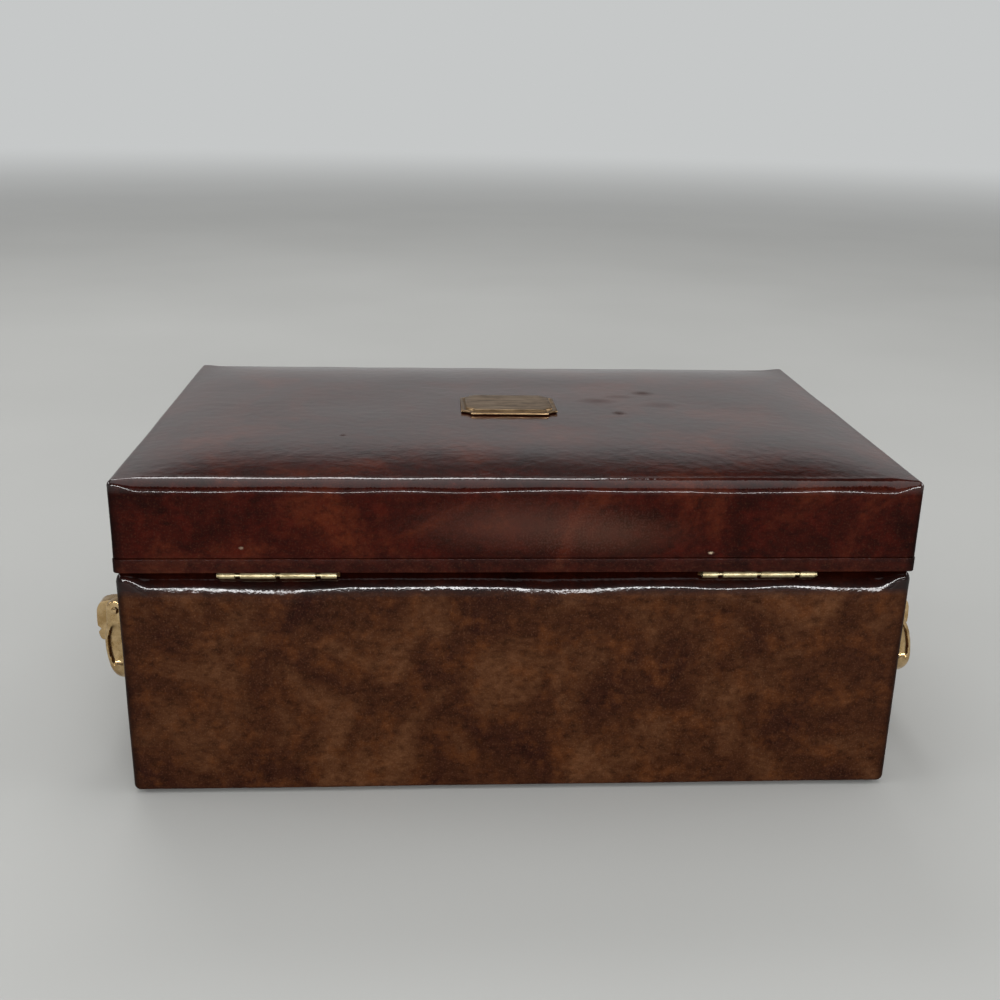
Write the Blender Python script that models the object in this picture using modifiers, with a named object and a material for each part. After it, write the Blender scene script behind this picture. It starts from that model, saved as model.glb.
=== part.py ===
"""Leather covered dresser box: a hinged padded lid, a blank brass plate and a swinging bail on each side.

Metres, +Z up. The origin is at the centre of the underside. The box opens at its front, -Y, and its
hinges are at its back, +Y. Left and right are as seen from the front.
"""

import math

import bmesh
import bpy
from mathutils import Matrix, Vector

# Clearances
GAP = 0.0003
OVERRUN = 0.002
MERGE = 0.00001

# The whole box
BOX_WIDTH = 0.302
BOX_DEPTH = 0.1936
BASE_HEIGHT = 0.0939
LID_EDGE_HEIGHT = 0.0359
LID_CROWN = 0.0031
LID_CROWN_RUN = 0.050
LID_CROWN_CORNER_SHARE = 0.8
LID_EDGE_ROUND = 0.0055
LID_SIDE_ROUND = 0.0024
BASE_CORNER = 0.003
LID_CORNER = 0.002
SHARP_CORNER = 0.0004

# Leather, felt and lining
LEATHER = 0.0013
HEM_ROUND = 0.0025
FELT = 0.0008
FELT_INSET = 0.004
LINING = 0.0023
LINING_EDGE_ROUND = 0.001
FLOOR_LINING = 0.0025
BAND_LEATHER = 0.0016
BAND_PROUD = 0.0003
BAND_HEIGHT = 0.0056
BAND_TURN_IN = 0.006
BAND_EDGE_ROUND = 0.0006

# Boards
BASE_WALL = 0.0095
BASE_FLOOR = 0.007
LID_WALL = 0.0091
LID_TOP_BOARD = 0.006

# The base's rolled rim
RIM_ROUND_INSET = 0.009
RIM_ROUND_DROP = 0.0101
RIM_INNER_DROP = 0.0042
RIM_TURN_IN = 0.0045
SIDE_RIM_INSET = 0.003
SIDE_RIM_DROP = 0.0044
SIDE_FADE = 0.010

# Hinges
HINGE_INSET = 0.060
HINGE_AXIS_INSET = 0.0016
BARREL_RADIUS = 0.0014
HINGE_PIN_RADIUS = 0.00065
PIN_NUB_RADIUS = 0.001
PIN_NUB = 0.0006
LEAF_THICKNESS = 0.0008
LEAF_WIDTH = 0.009
KNUCKLE_SHORT = 0.0058
KNUCKLE_LONG = 0.013
KNUCKLE_SIDE_GAP = 0.0021
KNUCKLE_MIDDLE_GAP = 0.0017
MORTISE_SIDE = 0.0012
MORTISE_END = 0.0004
LEAF_SCREW_SPACING = 0.029
LEAF_SCREW_INSET = 0.0054
LEAF_SCREW_HEAD = 0.0015
LEAF_SCREW_SHANK = 0.00075
LEAF_SCREW_SINK = 0.0007
LEAF_SCREW_LENGTH = 0.007

# Handle posts, measured from the pivot
PIVOT_REACH = 0.0125
PIVOT_HEIGHT = 0.0603
POST_Y = 0.0464
POST_WIDTH = 0.0062
HEAD_REACH = 0.009
HEAD_DROP = 0.0155
HEAD_CHAMFER = 0.0013
GROOVE_SIZE = 0.0022
GROOVE_DROP = 0.0106
STEM_RADIUS = 0.003
STEM_DROP = 0.0017
STEM_LENGTH = 0.0075
ROSETTE_RADIUS = 0.007
ROSETTE_THICKNESS = 0.0014
ROSETTE_COVE = 0.002
STUD_RADIUS = 0.0015
STUD_DEPTH = 0.0078
STUD_HEAD_RADIUS = 0.0032
STUD_HEAD = 0.002
STUD_SINK = 0.003

# Bails, measured from the pivot
BAIL_DROP = 0.0308
BAIL_CORNER = 0.007
ARM_THICKNESS = 0.005
ARM_HALF_WIDTH = 0.0045
GRIP_RADIUS = 0.0036
GRIP_SWELL = 0.0006
BAIL_CURL = 0.0013
BAIL_PIN_RADIUS = 0.0012
BAIL_PIN_HEAD_RADIUS = 0.0016
BAIL_PIN_HEAD = 0.0009
RECESS_LENGTH = 0.021
RECESS_WIDTH = 0.0054
RECESS_DEPTH = 0.0014
RECESS_DROP = 0.0168
LEFT_BAIL_SWING = 15.0
RIGHT_BAIL_SWING = 0.0

# Plate on the lid
PLATE_WIDTH = 0.0418
PLATE_DEPTH = 0.031
PLATE_THICKNESS = 0.0019
PLATE_NOTCH = 0.0042
PLATE_BEVEL = 0.0005

# Smoothness
CORNER_STEPS = 3
ARC_STEPS = 5
CROWN_STEPS = 5
ROUND_SIDES = 20
SMALL_ROUND_SIDES = 14
SCREW_SIDES = 12
OUTLINE_STEPS = 2
BAIL_SIDES = 16
ARM_STEPS = 5
EYE_STEPS = 3
BAIL_CORNER_STEPS = 3
GRIP_STEPS = 4
FLAT_SECTION_POWER = 4.0
ROUND_SECTION_POWER = 2.0
SMOOTH_ANGLE = 35.0
CHAMFER_ANGLE = 40.0
FADE_STEPS = 2

# The head of a post from the side, as shares of HEAD_REACH and HEAD_DROP from the pivot
HEAD_OUTLINE_SHARES = (
    (-0.63, 0.15), (0.10, 0.16), (0.50, 0.14), (0.80, 0.07), (0.95, -0.08), (0.99, -0.27),
    (1.00, -0.50), (0.98, -0.71), (0.95, -0.85), (0.86, -0.97), (0.74, -1.00), (0.62, -0.94),
    (0.49, -0.75), (0.34, -0.54), (0.05, -0.40), (-0.63, -0.41),
)

# The bail's arm from the eye down, as shares of BAIL_DROP, BAIL_CURL and ARM_HALF_WIDTH:
# how far down, how far its middle stands out, and how wide it is
ARM_SHARES = (
    (0.00, 0.00, 0.90), (0.24, 0.12, 0.90), (0.40, 0.78, 0.98), (0.60, 0.70, 1.00),
    (0.78, 0.10, 0.98), (0.92, -0.50, 0.90), (1.00, -1.00, 0.80),
)

# Sizes that follow from those above
HEM_BOTTOM = FELT + GAP
FLOOR_TOP = HEM_BOTTOM + BASE_FLOOR
BASE_BOARD_OUTER = LEATHER + GAP
BASE_BOARD_INNER = BASE_BOARD_OUTER + BASE_WALL
RIM_THICKNESS = BASE_BOARD_INNER + GAP + LEATHER
TURN_IN_END = BASE_HEIGHT - RIM_INNER_DROP - RIM_TURN_IN
LID_BOTTOM = BASE_HEIGHT + GAP
LID_EDGE_TOP = LID_BOTTOM + LID_EDGE_HEIGHT
LID_TOP = LID_EDGE_TOP + LID_CROWN
BAND_TOP = LID_BOTTOM + BAND_HEIGHT
PADDING_BOTTOM = LID_EDGE_TOP - LID_EDGE_ROUND
TOP_BOARD_TOP = PADDING_BOTTOM - GAP
TOP_BOARD_BOTTOM = TOP_BOARD_TOP - LID_TOP_BOARD
LID_BOARD_BOTTOM = LID_BOTTOM + BAND_LEATHER + GAP
LID_BOARD_INNER = BASE_BOARD_OUTER + LID_WALL
BAND_INNER = LID_BOARD_INNER + GAP + BAND_LEATHER
LID_LINING_TOP = TOP_BOARD_BOTTOM - GAP
HINGE_CENTRE = BOX_WIDTH / 2 - HINGE_INSET
HINGE_LENGTH = 2 * (KNUCKLE_SHORT + KNUCKLE_LONG + KNUCKLE_SIDE_GAP) + KNUCKLE_MIDDLE_GAP
HINGE_AXIS = Vector((0, BOX_DEPTH / 2 - HINGE_AXIS_INSET, LID_BOTTOM - GAP / 2 - BARREL_RADIUS))
PIVOT_X = BOX_WIDTH / 2 + PIVOT_REACH
ARM_INNER_Y = POST_Y + POST_WIDTH / 2 + GAP
ARM_Y = ARM_INNER_Y + ARM_THICKNESS / 2
ARM_OUTER_Y = ARM_INNER_Y + ARM_THICKNESS


# Materials

def material(name, colour, roughness, metallic=0.0):
    """A Principled material with a linear colour."""
    finish = bpy.data.materials.new(name)
    finish.use_nodes = True
    shader = finish.node_tree.nodes["Principled BSDF"]
    shader.inputs["Base Color"].default_value = (*colour, 1.0)
    shader.inputs["Roughness"].default_value = roughness
    shader.inputs["Metallic"].default_value = metallic
    finish.diffuse_color = (*colour, 1.0)
    return finish


def make_materials():
    """The finishes of the box by name."""
    return {
        "leather": material("glazed_leather", (0.060, 0.018, 0.010), 0.22),
        "band": material("band_leather", (0.052, 0.015, 0.009), 0.28),
        "wood": material("carcass_wood", (0.42, 0.27, 0.14), 0.7),
        "felt": material("felt", (0.035, 0.020, 0.014), 0.95),
        "suede": material("suede_lining", (0.20, 0.12, 0.07), 0.9),
        "wadding": material("wadding", (0.75, 0.72, 0.66), 0.95),
        "brass": material("polished_brass", (0.62, 0.45, 0.19), 0.18, 1.0),
        "hinge_brass": material("tarnished_brass", (0.47, 0.39, 0.25), 0.35, 1.0),
        "plate_brass": material("bronzed_brass", (0.36, 0.26, 0.16), 0.4, 1.0),
    }


# Outlines and sections

def arc(centre, radii, start, end, steps):
    """Points of an elliptical arc, with its angles in degrees."""
    points = []
    for step in range(steps + 1):
        angle = math.radians(start + (end - start) * step / steps)
        across = centre[0] + radii[0] * math.cos(angle)
        up = centre[1] + radii[1] * math.sin(angle)
        points.append(Vector((across, up)))
    return points


def offset(path, distance):
    """The open path moved to its right by distance, mitred at its points."""
    moved = []
    for index, point in enumerate(path):
        before = point - path[index - 1] if index else path[1] - point
        after = path[index + 1] - point if index + 1 < len(path) else before
        normals = [Vector((step.y, -step.x)).normalized() for step in (before, after)]
        middle = (normals[0] + normals[1]).normalized()
        moved.append(point + middle * (distance / middle.dot(normals[0])))
    return moved


def outline_corner(turn, point, radius):
    """One rounded corner of the box's outline at a section point (inset, height), anticlockwise."""
    side_x, side_y = ((1, 1), (-1, 1), (-1, -1), (1, -1))[turn]
    centre = (side_x * (BOX_WIDTH / 2 - point[0] - radius), side_y * (BOX_DEPTH / 2 - point[0] - radius))
    bend = arc(centre, (radius, radius), 90 * turn, 90 * turn + 90, CORNER_STEPS)
    return [Vector((place_at.x, place_at.y, point[1])) for place_at in bend]


def faded_corner(turn, point, side_point, radius):
    """A corner with the sides' section, and points where it fades into that of front and back."""
    bend = outline_corner(turn, side_point, radius)
    side_x, side_y = ((1, 1), (-1, 1), (-1, -1), (1, -1))[turn]
    starts_long_side = turn % 2 == 0
    end = bend[-1] if starts_long_side else bend[0]
    faded = []
    for step in range(1, FADE_STEPS + 1):
        share = step / FADE_STEPS
        weight = math.sin(math.radians(90 * share)) ** 2
        inwards = (point[0] - side_point[0]) * weight
        rise = (point[1] - side_point[1]) * weight
        faded.append(end + Vector((-side_x * SIDE_FADE * share, -side_y * inwards, rise)))
    return bend + faded if starts_long_side else list(reversed(faded)) + bend


def base_skin_path(round_inset, round_drop):
    """The outer face of the base's leather as (inset, height), from its hem over the rim and down inside."""
    rim_centre = (round_inset, BASE_HEIGHT - round_drop)
    inner_centre = (RIM_ROUND_INSET, BASE_HEIGHT - RIM_INNER_DROP)
    inner_inset = RIM_THICKNESS - RIM_ROUND_INSET
    path = [Vector((BASE_BOARD_INNER, HEM_BOTTOM))]
    path += arc((HEM_ROUND, HEM_BOTTOM + HEM_ROUND), (HEM_ROUND, HEM_ROUND), 270, 180, ARC_STEPS - 1)
    path += arc(rim_centre, (round_inset, round_drop), 180, 90, ARC_STEPS + 2)
    path += arc(inner_centre, (inner_inset, RIM_INNER_DROP), 90, 0, ARC_STEPS)[1:]
    path.append(Vector((RIM_THICKNESS, TURN_IN_END)))
    return path


def lid_skin_path(edge_round):
    """The outer face of the lid's leather as (inset, height), from its lower edge up to the crown."""
    path = [Vector((0, BAND_TOP + GAP))]
    path += arc((edge_round, LID_EDGE_TOP - edge_round), (edge_round, edge_round), 180, 90, ARC_STEPS)
    run = LID_EDGE_ROUND + LID_CROWN_RUN - edge_round
    for step in range(1, CROWN_STEPS + 1):
        share = step / CROWN_STEPS
        rise = LID_CROWN * math.sin(math.radians(90 * share))
        path.append(Vector((edge_round + run * share, LID_EDGE_TOP + rise)))
    return path


def band_section():
    """The lid's edge band, wrapped under the walls, as a closed section of (inset, height)."""
    turned_in_to = LID_BOTTOM + BAND_TURN_IN
    back = BAND_LEATHER - BAND_PROUD
    return [
        Vector((BAND_INNER, turned_in_to)),
        Vector((BAND_INNER, LID_BOTTOM)),
        Vector((BAND_EDGE_ROUND - BAND_PROUD, LID_BOTTOM)),
        Vector((-BAND_PROUD, LID_BOTTOM + BAND_EDGE_ROUND)),
        Vector((-BAND_PROUD, BAND_TOP)),
        Vector((back, BAND_TOP)),
        Vector((back, LID_BOTTOM + BAND_LEATHER)),
        Vector((BAND_INNER - BAND_LEATHER, LID_BOTTOM + BAND_LEATHER)),
        Vector((BAND_INNER - BAND_LEATHER, turned_in_to)),
    ]


def rectangle(inset_low, inset_high, height_low, height_high):
    """A closed section of four points."""
    return [
        Vector((inset_low, height_low)), Vector((inset_low, height_high)),
        Vector((inset_high, height_high)), Vector((inset_high, height_low)),
    ]


# Meshes

def finished(name, shape):
    """The bmesh as a mesh with its faces pointing out."""
    bmesh.ops.recalc_face_normals(shape, faces=shape.faces)
    mesh = bpy.data.meshes.new(name)
    shape.to_mesh(mesh)
    shape.free()
    return mesh


def loft(name, section, corner, capped=False, side_section=None, widening=0):
    """A body whose level outlines are the box's own outline moved inwards: section gives (inset, height).

    An uncapped section closes on itself and makes a ring. A capped one makes a body with two flat ends.
    With a side_section the left and right sides and the corners have that section, and front and back the
    other. A widening rounds the corners of the outlines more, the further in they lie from the lid's edge.
    """
    shape = bmesh.new()
    rings = []
    for point, side_point in zip(section, side_section or section):
        radius = max(corner - side_point[0], SHARP_CORNER, (point[0] - LID_EDGE_ROUND) * widening)
        outline = []
        for turn in range(4):
            if side_section:
                outline += faded_corner(turn, point, side_point, radius)
            else:
                outline += outline_corner(turn, point, radius)
        rings.append([shape.verts.new(place_at) for place_at in outline])
    pairs = list(zip(rings, rings[1:]))
    if not capped:
        pairs.append((rings[-1], rings[0]))
    for low, high in pairs:
        for index in range(len(low)):
            following = (index + 1) % len(low)
            shape.faces.new((low[index], low[following], high[following], high[index]))
    if capped:
        shape.faces.new(rings[0])
        shape.faces.new(rings[-1])
    return finished(name, shape)


def box(name, low, high):
    """A box between two corners."""
    shape = bmesh.new()
    bmesh.ops.create_cube(shape, size=1.0)
    low, high = Vector(low), Vector(high)
    bmesh.ops.scale(shape, vec=high - low, verts=shape.verts)
    bmesh.ops.translate(shape, vec=(high + low) / 2, verts=shape.verts)
    return finished(name, shape)


def cylinder(name, radius, length, sides):
    """A cylinder centred on the origin along Z."""
    shape = bmesh.new()
    bmesh.ops.create_cone(shape, cap_ends=True, segments=sides, radius1=radius, radius2=radius, depth=length)
    return finished(name, shape)


def prism(name, outline, low, high):
    """An upright body on a flat outline."""
    shape = bmesh.new()
    face = shape.faces.new([shape.verts.new((x, y, low)) for x, y in outline])
    raised = bmesh.ops.extrude_face_region(shape, geom=[face])["geom"]
    verts = [item for item in raised if isinstance(item, bmesh.types.BMVert)]
    bmesh.ops.translate(shape, vec=(0, 0, high - low), verts=verts)
    return finished(name, shape)


def evaluated_mesh(obj):
    """The object's mesh with its modifiers applied. The object is removed."""
    bpy.context.view_layer.update()
    graph = bpy.context.evaluated_depsgraph_get()
    mesh = bpy.data.meshes.new_from_object(obj.evaluated_get(graph))
    bpy.data.objects.remove(obj)
    return mesh


def turned(name, profile, sides):
    """A body turned about Z from (radius, height) points that run from its top to its bottom."""
    shape = bmesh.new()
    verts = [shape.verts.new((radius, 0, height)) for radius, height in profile]
    for first, second in zip(verts, verts[1:]):
        shape.edges.new((first, second))
    mesh = bpy.data.meshes.new(name)
    shape.to_mesh(mesh)
    shape.free()
    lathe = bpy.data.objects.new(name, mesh)
    workshop().objects.link(lathe)
    screw = lathe.modifiers.new("Turn", "SCREW")
    screw.steps = sides
    screw.render_steps = sides
    screw.use_merge_vertices = True
    screw.merge_threshold = MERGE
    return evaluated_mesh(lathe)


def outlined(name, points, thickness, chamfer, smooth):
    """A flat outline in the XZ plane, thickened along Y, with chamfered edges."""
    curve = bpy.data.curves.new(name, "CURVE")
    curve.dimensions = "2D"
    curve.fill_mode = "BOTH"
    curve.resolution_u = OUTLINE_STEPS
    curve.extrude = thickness / 2
    spline = curve.splines.new("BEZIER" if smooth else "POLY")
    spline.use_cyclic_u = True
    if smooth:
        spline.bezier_points.add(len(points) - 1)
        for knot, (across, up) in zip(spline.bezier_points, points):
            knot.co = (across, up, 0)
            knot.handle_left_type = "AUTO"
            knot.handle_right_type = "AUTO"
    else:
        spline.points.add(len(points) - 1)
        for knot, (across, up) in zip(spline.points, points):
            knot.co = (across, up, 0, 1)
    blank = bpy.data.objects.new(name, curve)
    workshop().objects.link(blank)
    weld = blank.modifiers.new("Weld", "WELD")
    weld.merge_threshold = MERGE
    bevel = blank.modifiers.new("Chamfer", "BEVEL")
    bevel.width = chamfer
    bevel.segments = 2
    bevel.angle_limit = math.radians(CHAMFER_ANGLE)
    mesh = evaluated_mesh(blank)
    mesh.transform(Matrix.Rotation(math.radians(90), 4, "X"))
    return mesh


def combine(name, mesh, steps):
    """The mesh after a list of Boolean steps, each of them (operation, other mesh, its matrix)."""
    body = bpy.data.objects.new(name, mesh)
    workshop().objects.link(body)
    tools = []
    for operation, other, matrix in steps:
        tool = bpy.data.objects.new(name + "_tool", other)
        tool.matrix_world = matrix
        tool.display_type = "WIRE"
        tool.hide_render = True
        workshop().objects.link(tool)
        cut = body.modifiers.new(operation.title(), "BOOLEAN")
        cut.operation = operation
        cut.object = tool
        tools.append(tool)
    result = evaluated_mesh(body)
    for tool in tools:
        bpy.data.objects.remove(tool)
    return result


def workshop():
    """The collection that holds cutters and unfinished bodies while they are in use."""
    return bpy.data.collections["cutters"]


def at(x, y, z):
    """A matrix that only moves."""
    return Matrix.Translation((x, y, z))


def along_x():
    """A matrix that lays the Z axis along +X."""
    return Matrix.Rotation(math.radians(90), 4, "Y")


def along_y():
    """A matrix that lays the Z axis along +Y."""
    return Matrix.Rotation(math.radians(-90), 4, "X")


# Pieces of the scene

def add_part(name, mesh, finish, parent=None):
    """One named piece with its material. The mesh is in world coordinates, and a parent keeps it there."""
    mesh = mesh.copy()
    mesh.name = name
    mesh.materials.clear()
    mesh.materials.append(finish)
    mesh.shade_smooth()
    mesh.set_sharp_from_angle(angle=math.radians(SMOOTH_ANGLE))
    piece = bpy.data.objects.new(name, mesh)
    bpy.data.collections["dresser_box"].objects.link(piece)
    if parent:
        piece.parent = parent
        piece.matrix_parent_inverse = at(*parent.location).inverted()
    return piece


def place(piece, location, turn=0.0, swing=0.0):
    """Sets a piece down at a location, turned about Z, then swung about its own Y. Angles in degrees."""
    turned_round = Matrix.Rotation(math.radians(turn), 4, "Z")
    swung = Matrix.Rotation(math.radians(-swing), 4, "Y")
    piece.matrix_basis = at(*location) @ turned_round @ swung


def mitre_cutters():
    """Four upright wedges that part a ring into front, back, left and right pieces, a gap apart."""
    kerf = GAP / math.sqrt(2)
    half_width = BOX_WIDTH / 2 + OVERRUN
    half_depth = BOX_DEPTH / 2 + OVERRUN
    flat = BOX_WIDTH / 2 - BOX_DEPTH / 2
    long_side = [
        (-half_width + kerf, -half_depth), (half_width - kerf, -half_depth),
        (flat - kerf, 0), (-flat + kerf, 0),
    ]
    short_side = [(-half_width, -half_depth + kerf), (-flat - kerf, 0), (-half_width, half_depth - kerf)]
    low, high = -OVERRUN, LID_TOP + OVERRUN
    front = prism("front_wedge", long_side, low, high)
    left = prism("left_wedge", short_side, low, high)
    half_turn = Matrix.Rotation(math.radians(180), 4, "Z")
    return {
        "front": (front, Matrix.Identity(4)),
        "back": (front, half_turn),
        "left": (left, Matrix.Identity(4)),
        "right": (left, half_turn),
    }


def mitred(name, ring, finish, more_cuts, parent=None):
    """Cuts a ring into its four mitred pieces. more_cuts gives further Boolean steps by side."""
    for side, (wedge, matrix) in mitre_cutters().items():
        steps = [("INTERSECT", wedge, matrix)] + more_cuts.get(side, [])
        add_part(name.format(side), combine(side, ring, steps), finish, parent)


# Sub-assemblies

def hinge_places():
    """The centre of each hinge on its axis, by side."""
    return {
        "left": HINGE_AXIS + Vector((-HINGE_CENTRE, 0, 0)),
        "right": HINGE_AXIS + Vector((HINGE_CENTRE, 0, 0)),
    }


def leaf_screw_places():
    """Where a leaf's screws stand, measured from the middle of the hinge: (along, across)."""
    return [(-LEAF_SCREW_SPACING / 2, -LEAF_SCREW_INSET), (LEAF_SCREW_SPACING / 2, -LEAF_SCREW_INSET)]


def leaf_screw(clearance):
    """A countersunk wood screw, head up with its top at the origin, or the hole it needs."""
    head = LEAF_SCREW_HEAD + clearance
    shank = LEAF_SCREW_SHANK + clearance
    top = OVERRUN if clearance else 0
    tip = LEAF_SCREW_LENGTH + clearance
    profile = [
        (0, top), (head, top), (head, -LEAF_SCREW_SINK / 4), (shank, -LEAF_SCREW_SINK - clearance / 2),
        (shank, -tip + shank), (0, -tip),
    ]
    return turned("leaf_screw", profile, SCREW_SIDES)


def mortise_steps():
    """Boolean steps that sink both hinges into the base's rim."""
    steps = []
    for centre in hinge_places().values():
        low = (
            centre.x - HINGE_LENGTH / 2 - MORTISE_SIDE,
            centre.y - LEAF_WIDTH - MORTISE_END,
            centre.z - BARREL_RADIUS - GAP,
        )
        high = (centre.x + HINGE_LENGTH / 2 + MORTISE_SIDE, BOX_DEPTH / 2 + OVERRUN, BASE_HEIGHT + OVERRUN)
        steps.append(("DIFFERENCE", box("mortise", low, high), Matrix.Identity(4)))
    return steps


def leaf_screw_matrices(up):
    """Matrices of the leaf screws: those of the base with up = 1, and those of the lid with up = -1."""
    flip = Matrix.Identity(4) if up > 0 else Matrix.Rotation(math.radians(180), 4, "Y")
    top = -up * (BARREL_RADIUS - LEAF_THICKNESS)
    matrices = {}
    for side, centre in hinge_places().items():
        for number, (along, across) in enumerate(leaf_screw_places(), 1):
            place_at = centre + Vector((along, across, top))
            matrices[f"{side}_{number}"] = at(*place_at) @ flip
    return matrices


def leaf_screw_holes(up):
    """Boolean steps for the screw holes below the base's leaves, up = 1, or above the lid's, up = -1."""
    hole = leaf_screw(GAP)
    return [("DIFFERENCE", hole, matrix) for matrix in leaf_screw_matrices(up).values()]


def hinge_leaf():
    """A leaf about the hinge's middle: the plate lies below the axis and runs to -Y, with two knuckles."""
    half = HINGE_LENGTH / 2
    low, high = -BARREL_RADIUS, LEAF_THICKNESS - BARREL_RADIUS
    plate_edge = -BARREL_RADIUS - GAP
    plate = box("leaf", (-half, -LEAF_WIDTH, low), (half, plate_edge, high))
    long_start = -half + KNUCKLE_SHORT + KNUCKLE_SIDE_GAP + KNUCKLE_LONG + KNUCKLE_MIDDLE_GAP
    steps = []
    for start, length in ((-half, KNUCKLE_SHORT), (long_start, KNUCKLE_LONG)):
        knuckle = cylinder("knuckle", BARREL_RADIUS, length, SMALL_ROUND_SIDES)
        steps.append(("UNION", knuckle, at(start + length / 2, 0, 0) @ along_x()))
        tab_low = (start, plate_edge - LEAF_THICKNESS, low)
        tab = box("tab", tab_low, (start + length, 0, high))
        steps.append(("UNION", tab, Matrix.Identity(4)))
    bore = cylinder("bore", HINGE_PIN_RADIUS + GAP, HINGE_LENGTH + 2 * OVERRUN, SMALL_ROUND_SIDES)
    steps.append(("DIFFERENCE", bore, along_x()))
    hole = leaf_screw(GAP)
    for along, across in leaf_screw_places():
        steps.append(("DIFFERENCE", hole, at(along, across, high)))
    return combine("hinge_leaf", plate, steps)


def hinge_pin():
    """A pin along Z with a nub at its top, centred on the hinge."""
    half = HINGE_LENGTH / 2
    nub_top = half + GAP + PIN_NUB
    profile = [
        (0, nub_top), (PIN_NUB_RADIUS - PIN_NUB / 3, nub_top), (PIN_NUB_RADIUS, nub_top - PIN_NUB / 3),
        (PIN_NUB_RADIUS, half + GAP), (HINGE_PIN_RADIUS, half + GAP), (HINGE_PIN_RADIUS, -half), (0, -half),
    ]
    return turned("hinge_pin", profile, SCREW_SIDES)


def make_hinges(finishes, lid):
    """Two butt hinges of two alike leaves, turned end for end, on one pin."""
    leaf = hinge_leaf()
    pin = hinge_pin()
    screw = leaf_screw(0)
    end_for_end = Matrix.Rotation(math.radians(180), 4, "Y")
    brass = finishes["hinge_brass"]
    for side, centre in hinge_places().items():
        place(add_part(f"{side}_hinge_base_leaf", leaf, brass), centre)
        lid_leaf = leaf.copy()
        lid_leaf.transform(at(*centre) @ end_for_end)
        add_part(f"{side}_hinge_lid_leaf", lid_leaf, brass, lid)
        nub_side = -1 if side == "left" else 1
        pin_piece = add_part(f"{side}_hinge_pin", pin, brass)
        pin_piece.matrix_basis = at(*centre) @ Matrix.Rotation(math.radians(90 * nub_side), 4, "Y")
    for name, matrix in leaf_screw_matrices(1).items():
        add_part(f"base_hinge_screw_{name}", screw, brass).matrix_basis = matrix
    for name, matrix in leaf_screw_matrices(-1).items():
        placed = screw.copy()
        placed.transform(matrix)
        add_part(f"lid_hinge_screw_{name}", placed, brass, lid)


def stud_places():
    """Where each post's screw goes through the side wall: (side, end, sign of X, Y)."""
    places = []
    for side, sign in (("left", -1), ("right", 1)):
        for end, y in (("front", -POST_Y), ("back", POST_Y)):
            places.append((side, end, sign, y))
    return places


def stud_holes(side, radius, counterbore):
    """Boolean steps for one side wall: a hole for each post's screw, with a counterbore from inside."""
    steps = []
    height = PIVOT_HEIGHT - STEM_DROP
    through = cylinder("stud_hole", radius, 2 * (RIM_THICKNESS + OVERRUN), SMALL_ROUND_SIDES)
    pocket = cylinder("counterbore", STUD_HEAD_RADIUS + GAP, 2 * STUD_SINK, ROUND_SIDES)
    for name, _, sign, y in stud_places():
        if name != side:
            continue
        steps.append(("DIFFERENCE", through, at(sign * BOX_WIDTH / 2, y, height) @ along_x()))
        if counterbore:
            inner = sign * (BOX_WIDTH / 2 - BASE_BOARD_INNER)
            steps.append(("DIFFERENCE", pocket, at(inner, y, height) @ along_x()))
    return steps


def handle_post():
    """A cast post about the pivot: a rosette on the wall, a turned stem, and a hooked head with a groove."""
    outline = [(x * HEAD_REACH, z * HEAD_DROP) for x, z in HEAD_OUTLINE_SHARES]
    head = outlined("post_head", outline, POST_WIDTH, HEAD_CHAMFER, True)
    foot = GAP - PIVOT_REACH
    stem_top = foot + STEM_LENGTH + ROSETTE_THICKNESS
    cove = arc(
        (STEM_RADIUS + ROSETTE_COVE, foot + ROSETTE_THICKNESS + ROSETTE_COVE),
        (ROSETTE_COVE, ROSETTE_COVE), 180, 270, ARC_STEPS - 2,
    )
    profile = [(0, stem_top), (STEM_RADIUS, stem_top)]
    profile += [(point.x, point.y) for point in cove]
    profile += [
        (ROSETTE_RADIUS - ROSETTE_THICKNESS / 3, foot + ROSETTE_THICKNESS),
        (ROSETTE_RADIUS, foot + ROSETTE_THICKNESS / 2), (ROSETTE_RADIUS, foot), (0, foot),
    ]
    stem = turned("post_stem", profile, ROUND_SIDES)
    groove_corner = Vector((GROOVE_SIZE / 2, POST_WIDTH, GROOVE_SIZE / 2))
    groove = box("groove", -groove_corner, groove_corner)
    bore = cylinder("pivot_bore", BAIL_PIN_RADIUS + GAP, POST_WIDTH + 2 * OVERRUN, SMALL_ROUND_SIDES)
    stud = cylinder("stud_bore", STUD_RADIUS + GAP, 2 * (STUD_DEPTH + GAP), SMALL_ROUND_SIDES)
    steps = [
        ("UNION", stem, at(0, 0, -STEM_DROP) @ along_x()),
        ("DIFFERENCE", groove, at(HEAD_REACH, 0, -GROOVE_DROP) @ Matrix.Rotation(math.radians(45), 4, "Y")),
        ("DIFFERENCE", bore, along_y()),
        ("DIFFERENCE", stud, at(foot, 0, -STEM_DROP) @ along_x()),
    ]
    return combine("handle_post", head, steps)


def post_screw():
    """The screw that holds a post from inside, along +X with the wall's outer face at the origin."""
    head_end = -(BASE_BOARD_INNER - STUD_SINK + GAP + STUD_HEAD)
    shank_start = head_end + STUD_HEAD
    tip = STUD_DEPTH
    edge = STUD_HEAD / 4
    profile = [
        (0, tip), (STUD_RADIUS, tip), (STUD_RADIUS, shank_start), (STUD_HEAD_RADIUS, shank_start),
        (STUD_HEAD_RADIUS, head_end + edge), (STUD_HEAD_RADIUS - edge, head_end), (0, head_end),
    ]
    screw = turned("post_screw", profile, SMALL_ROUND_SIDES)
    screw.transform(along_x())
    return screw


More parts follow.
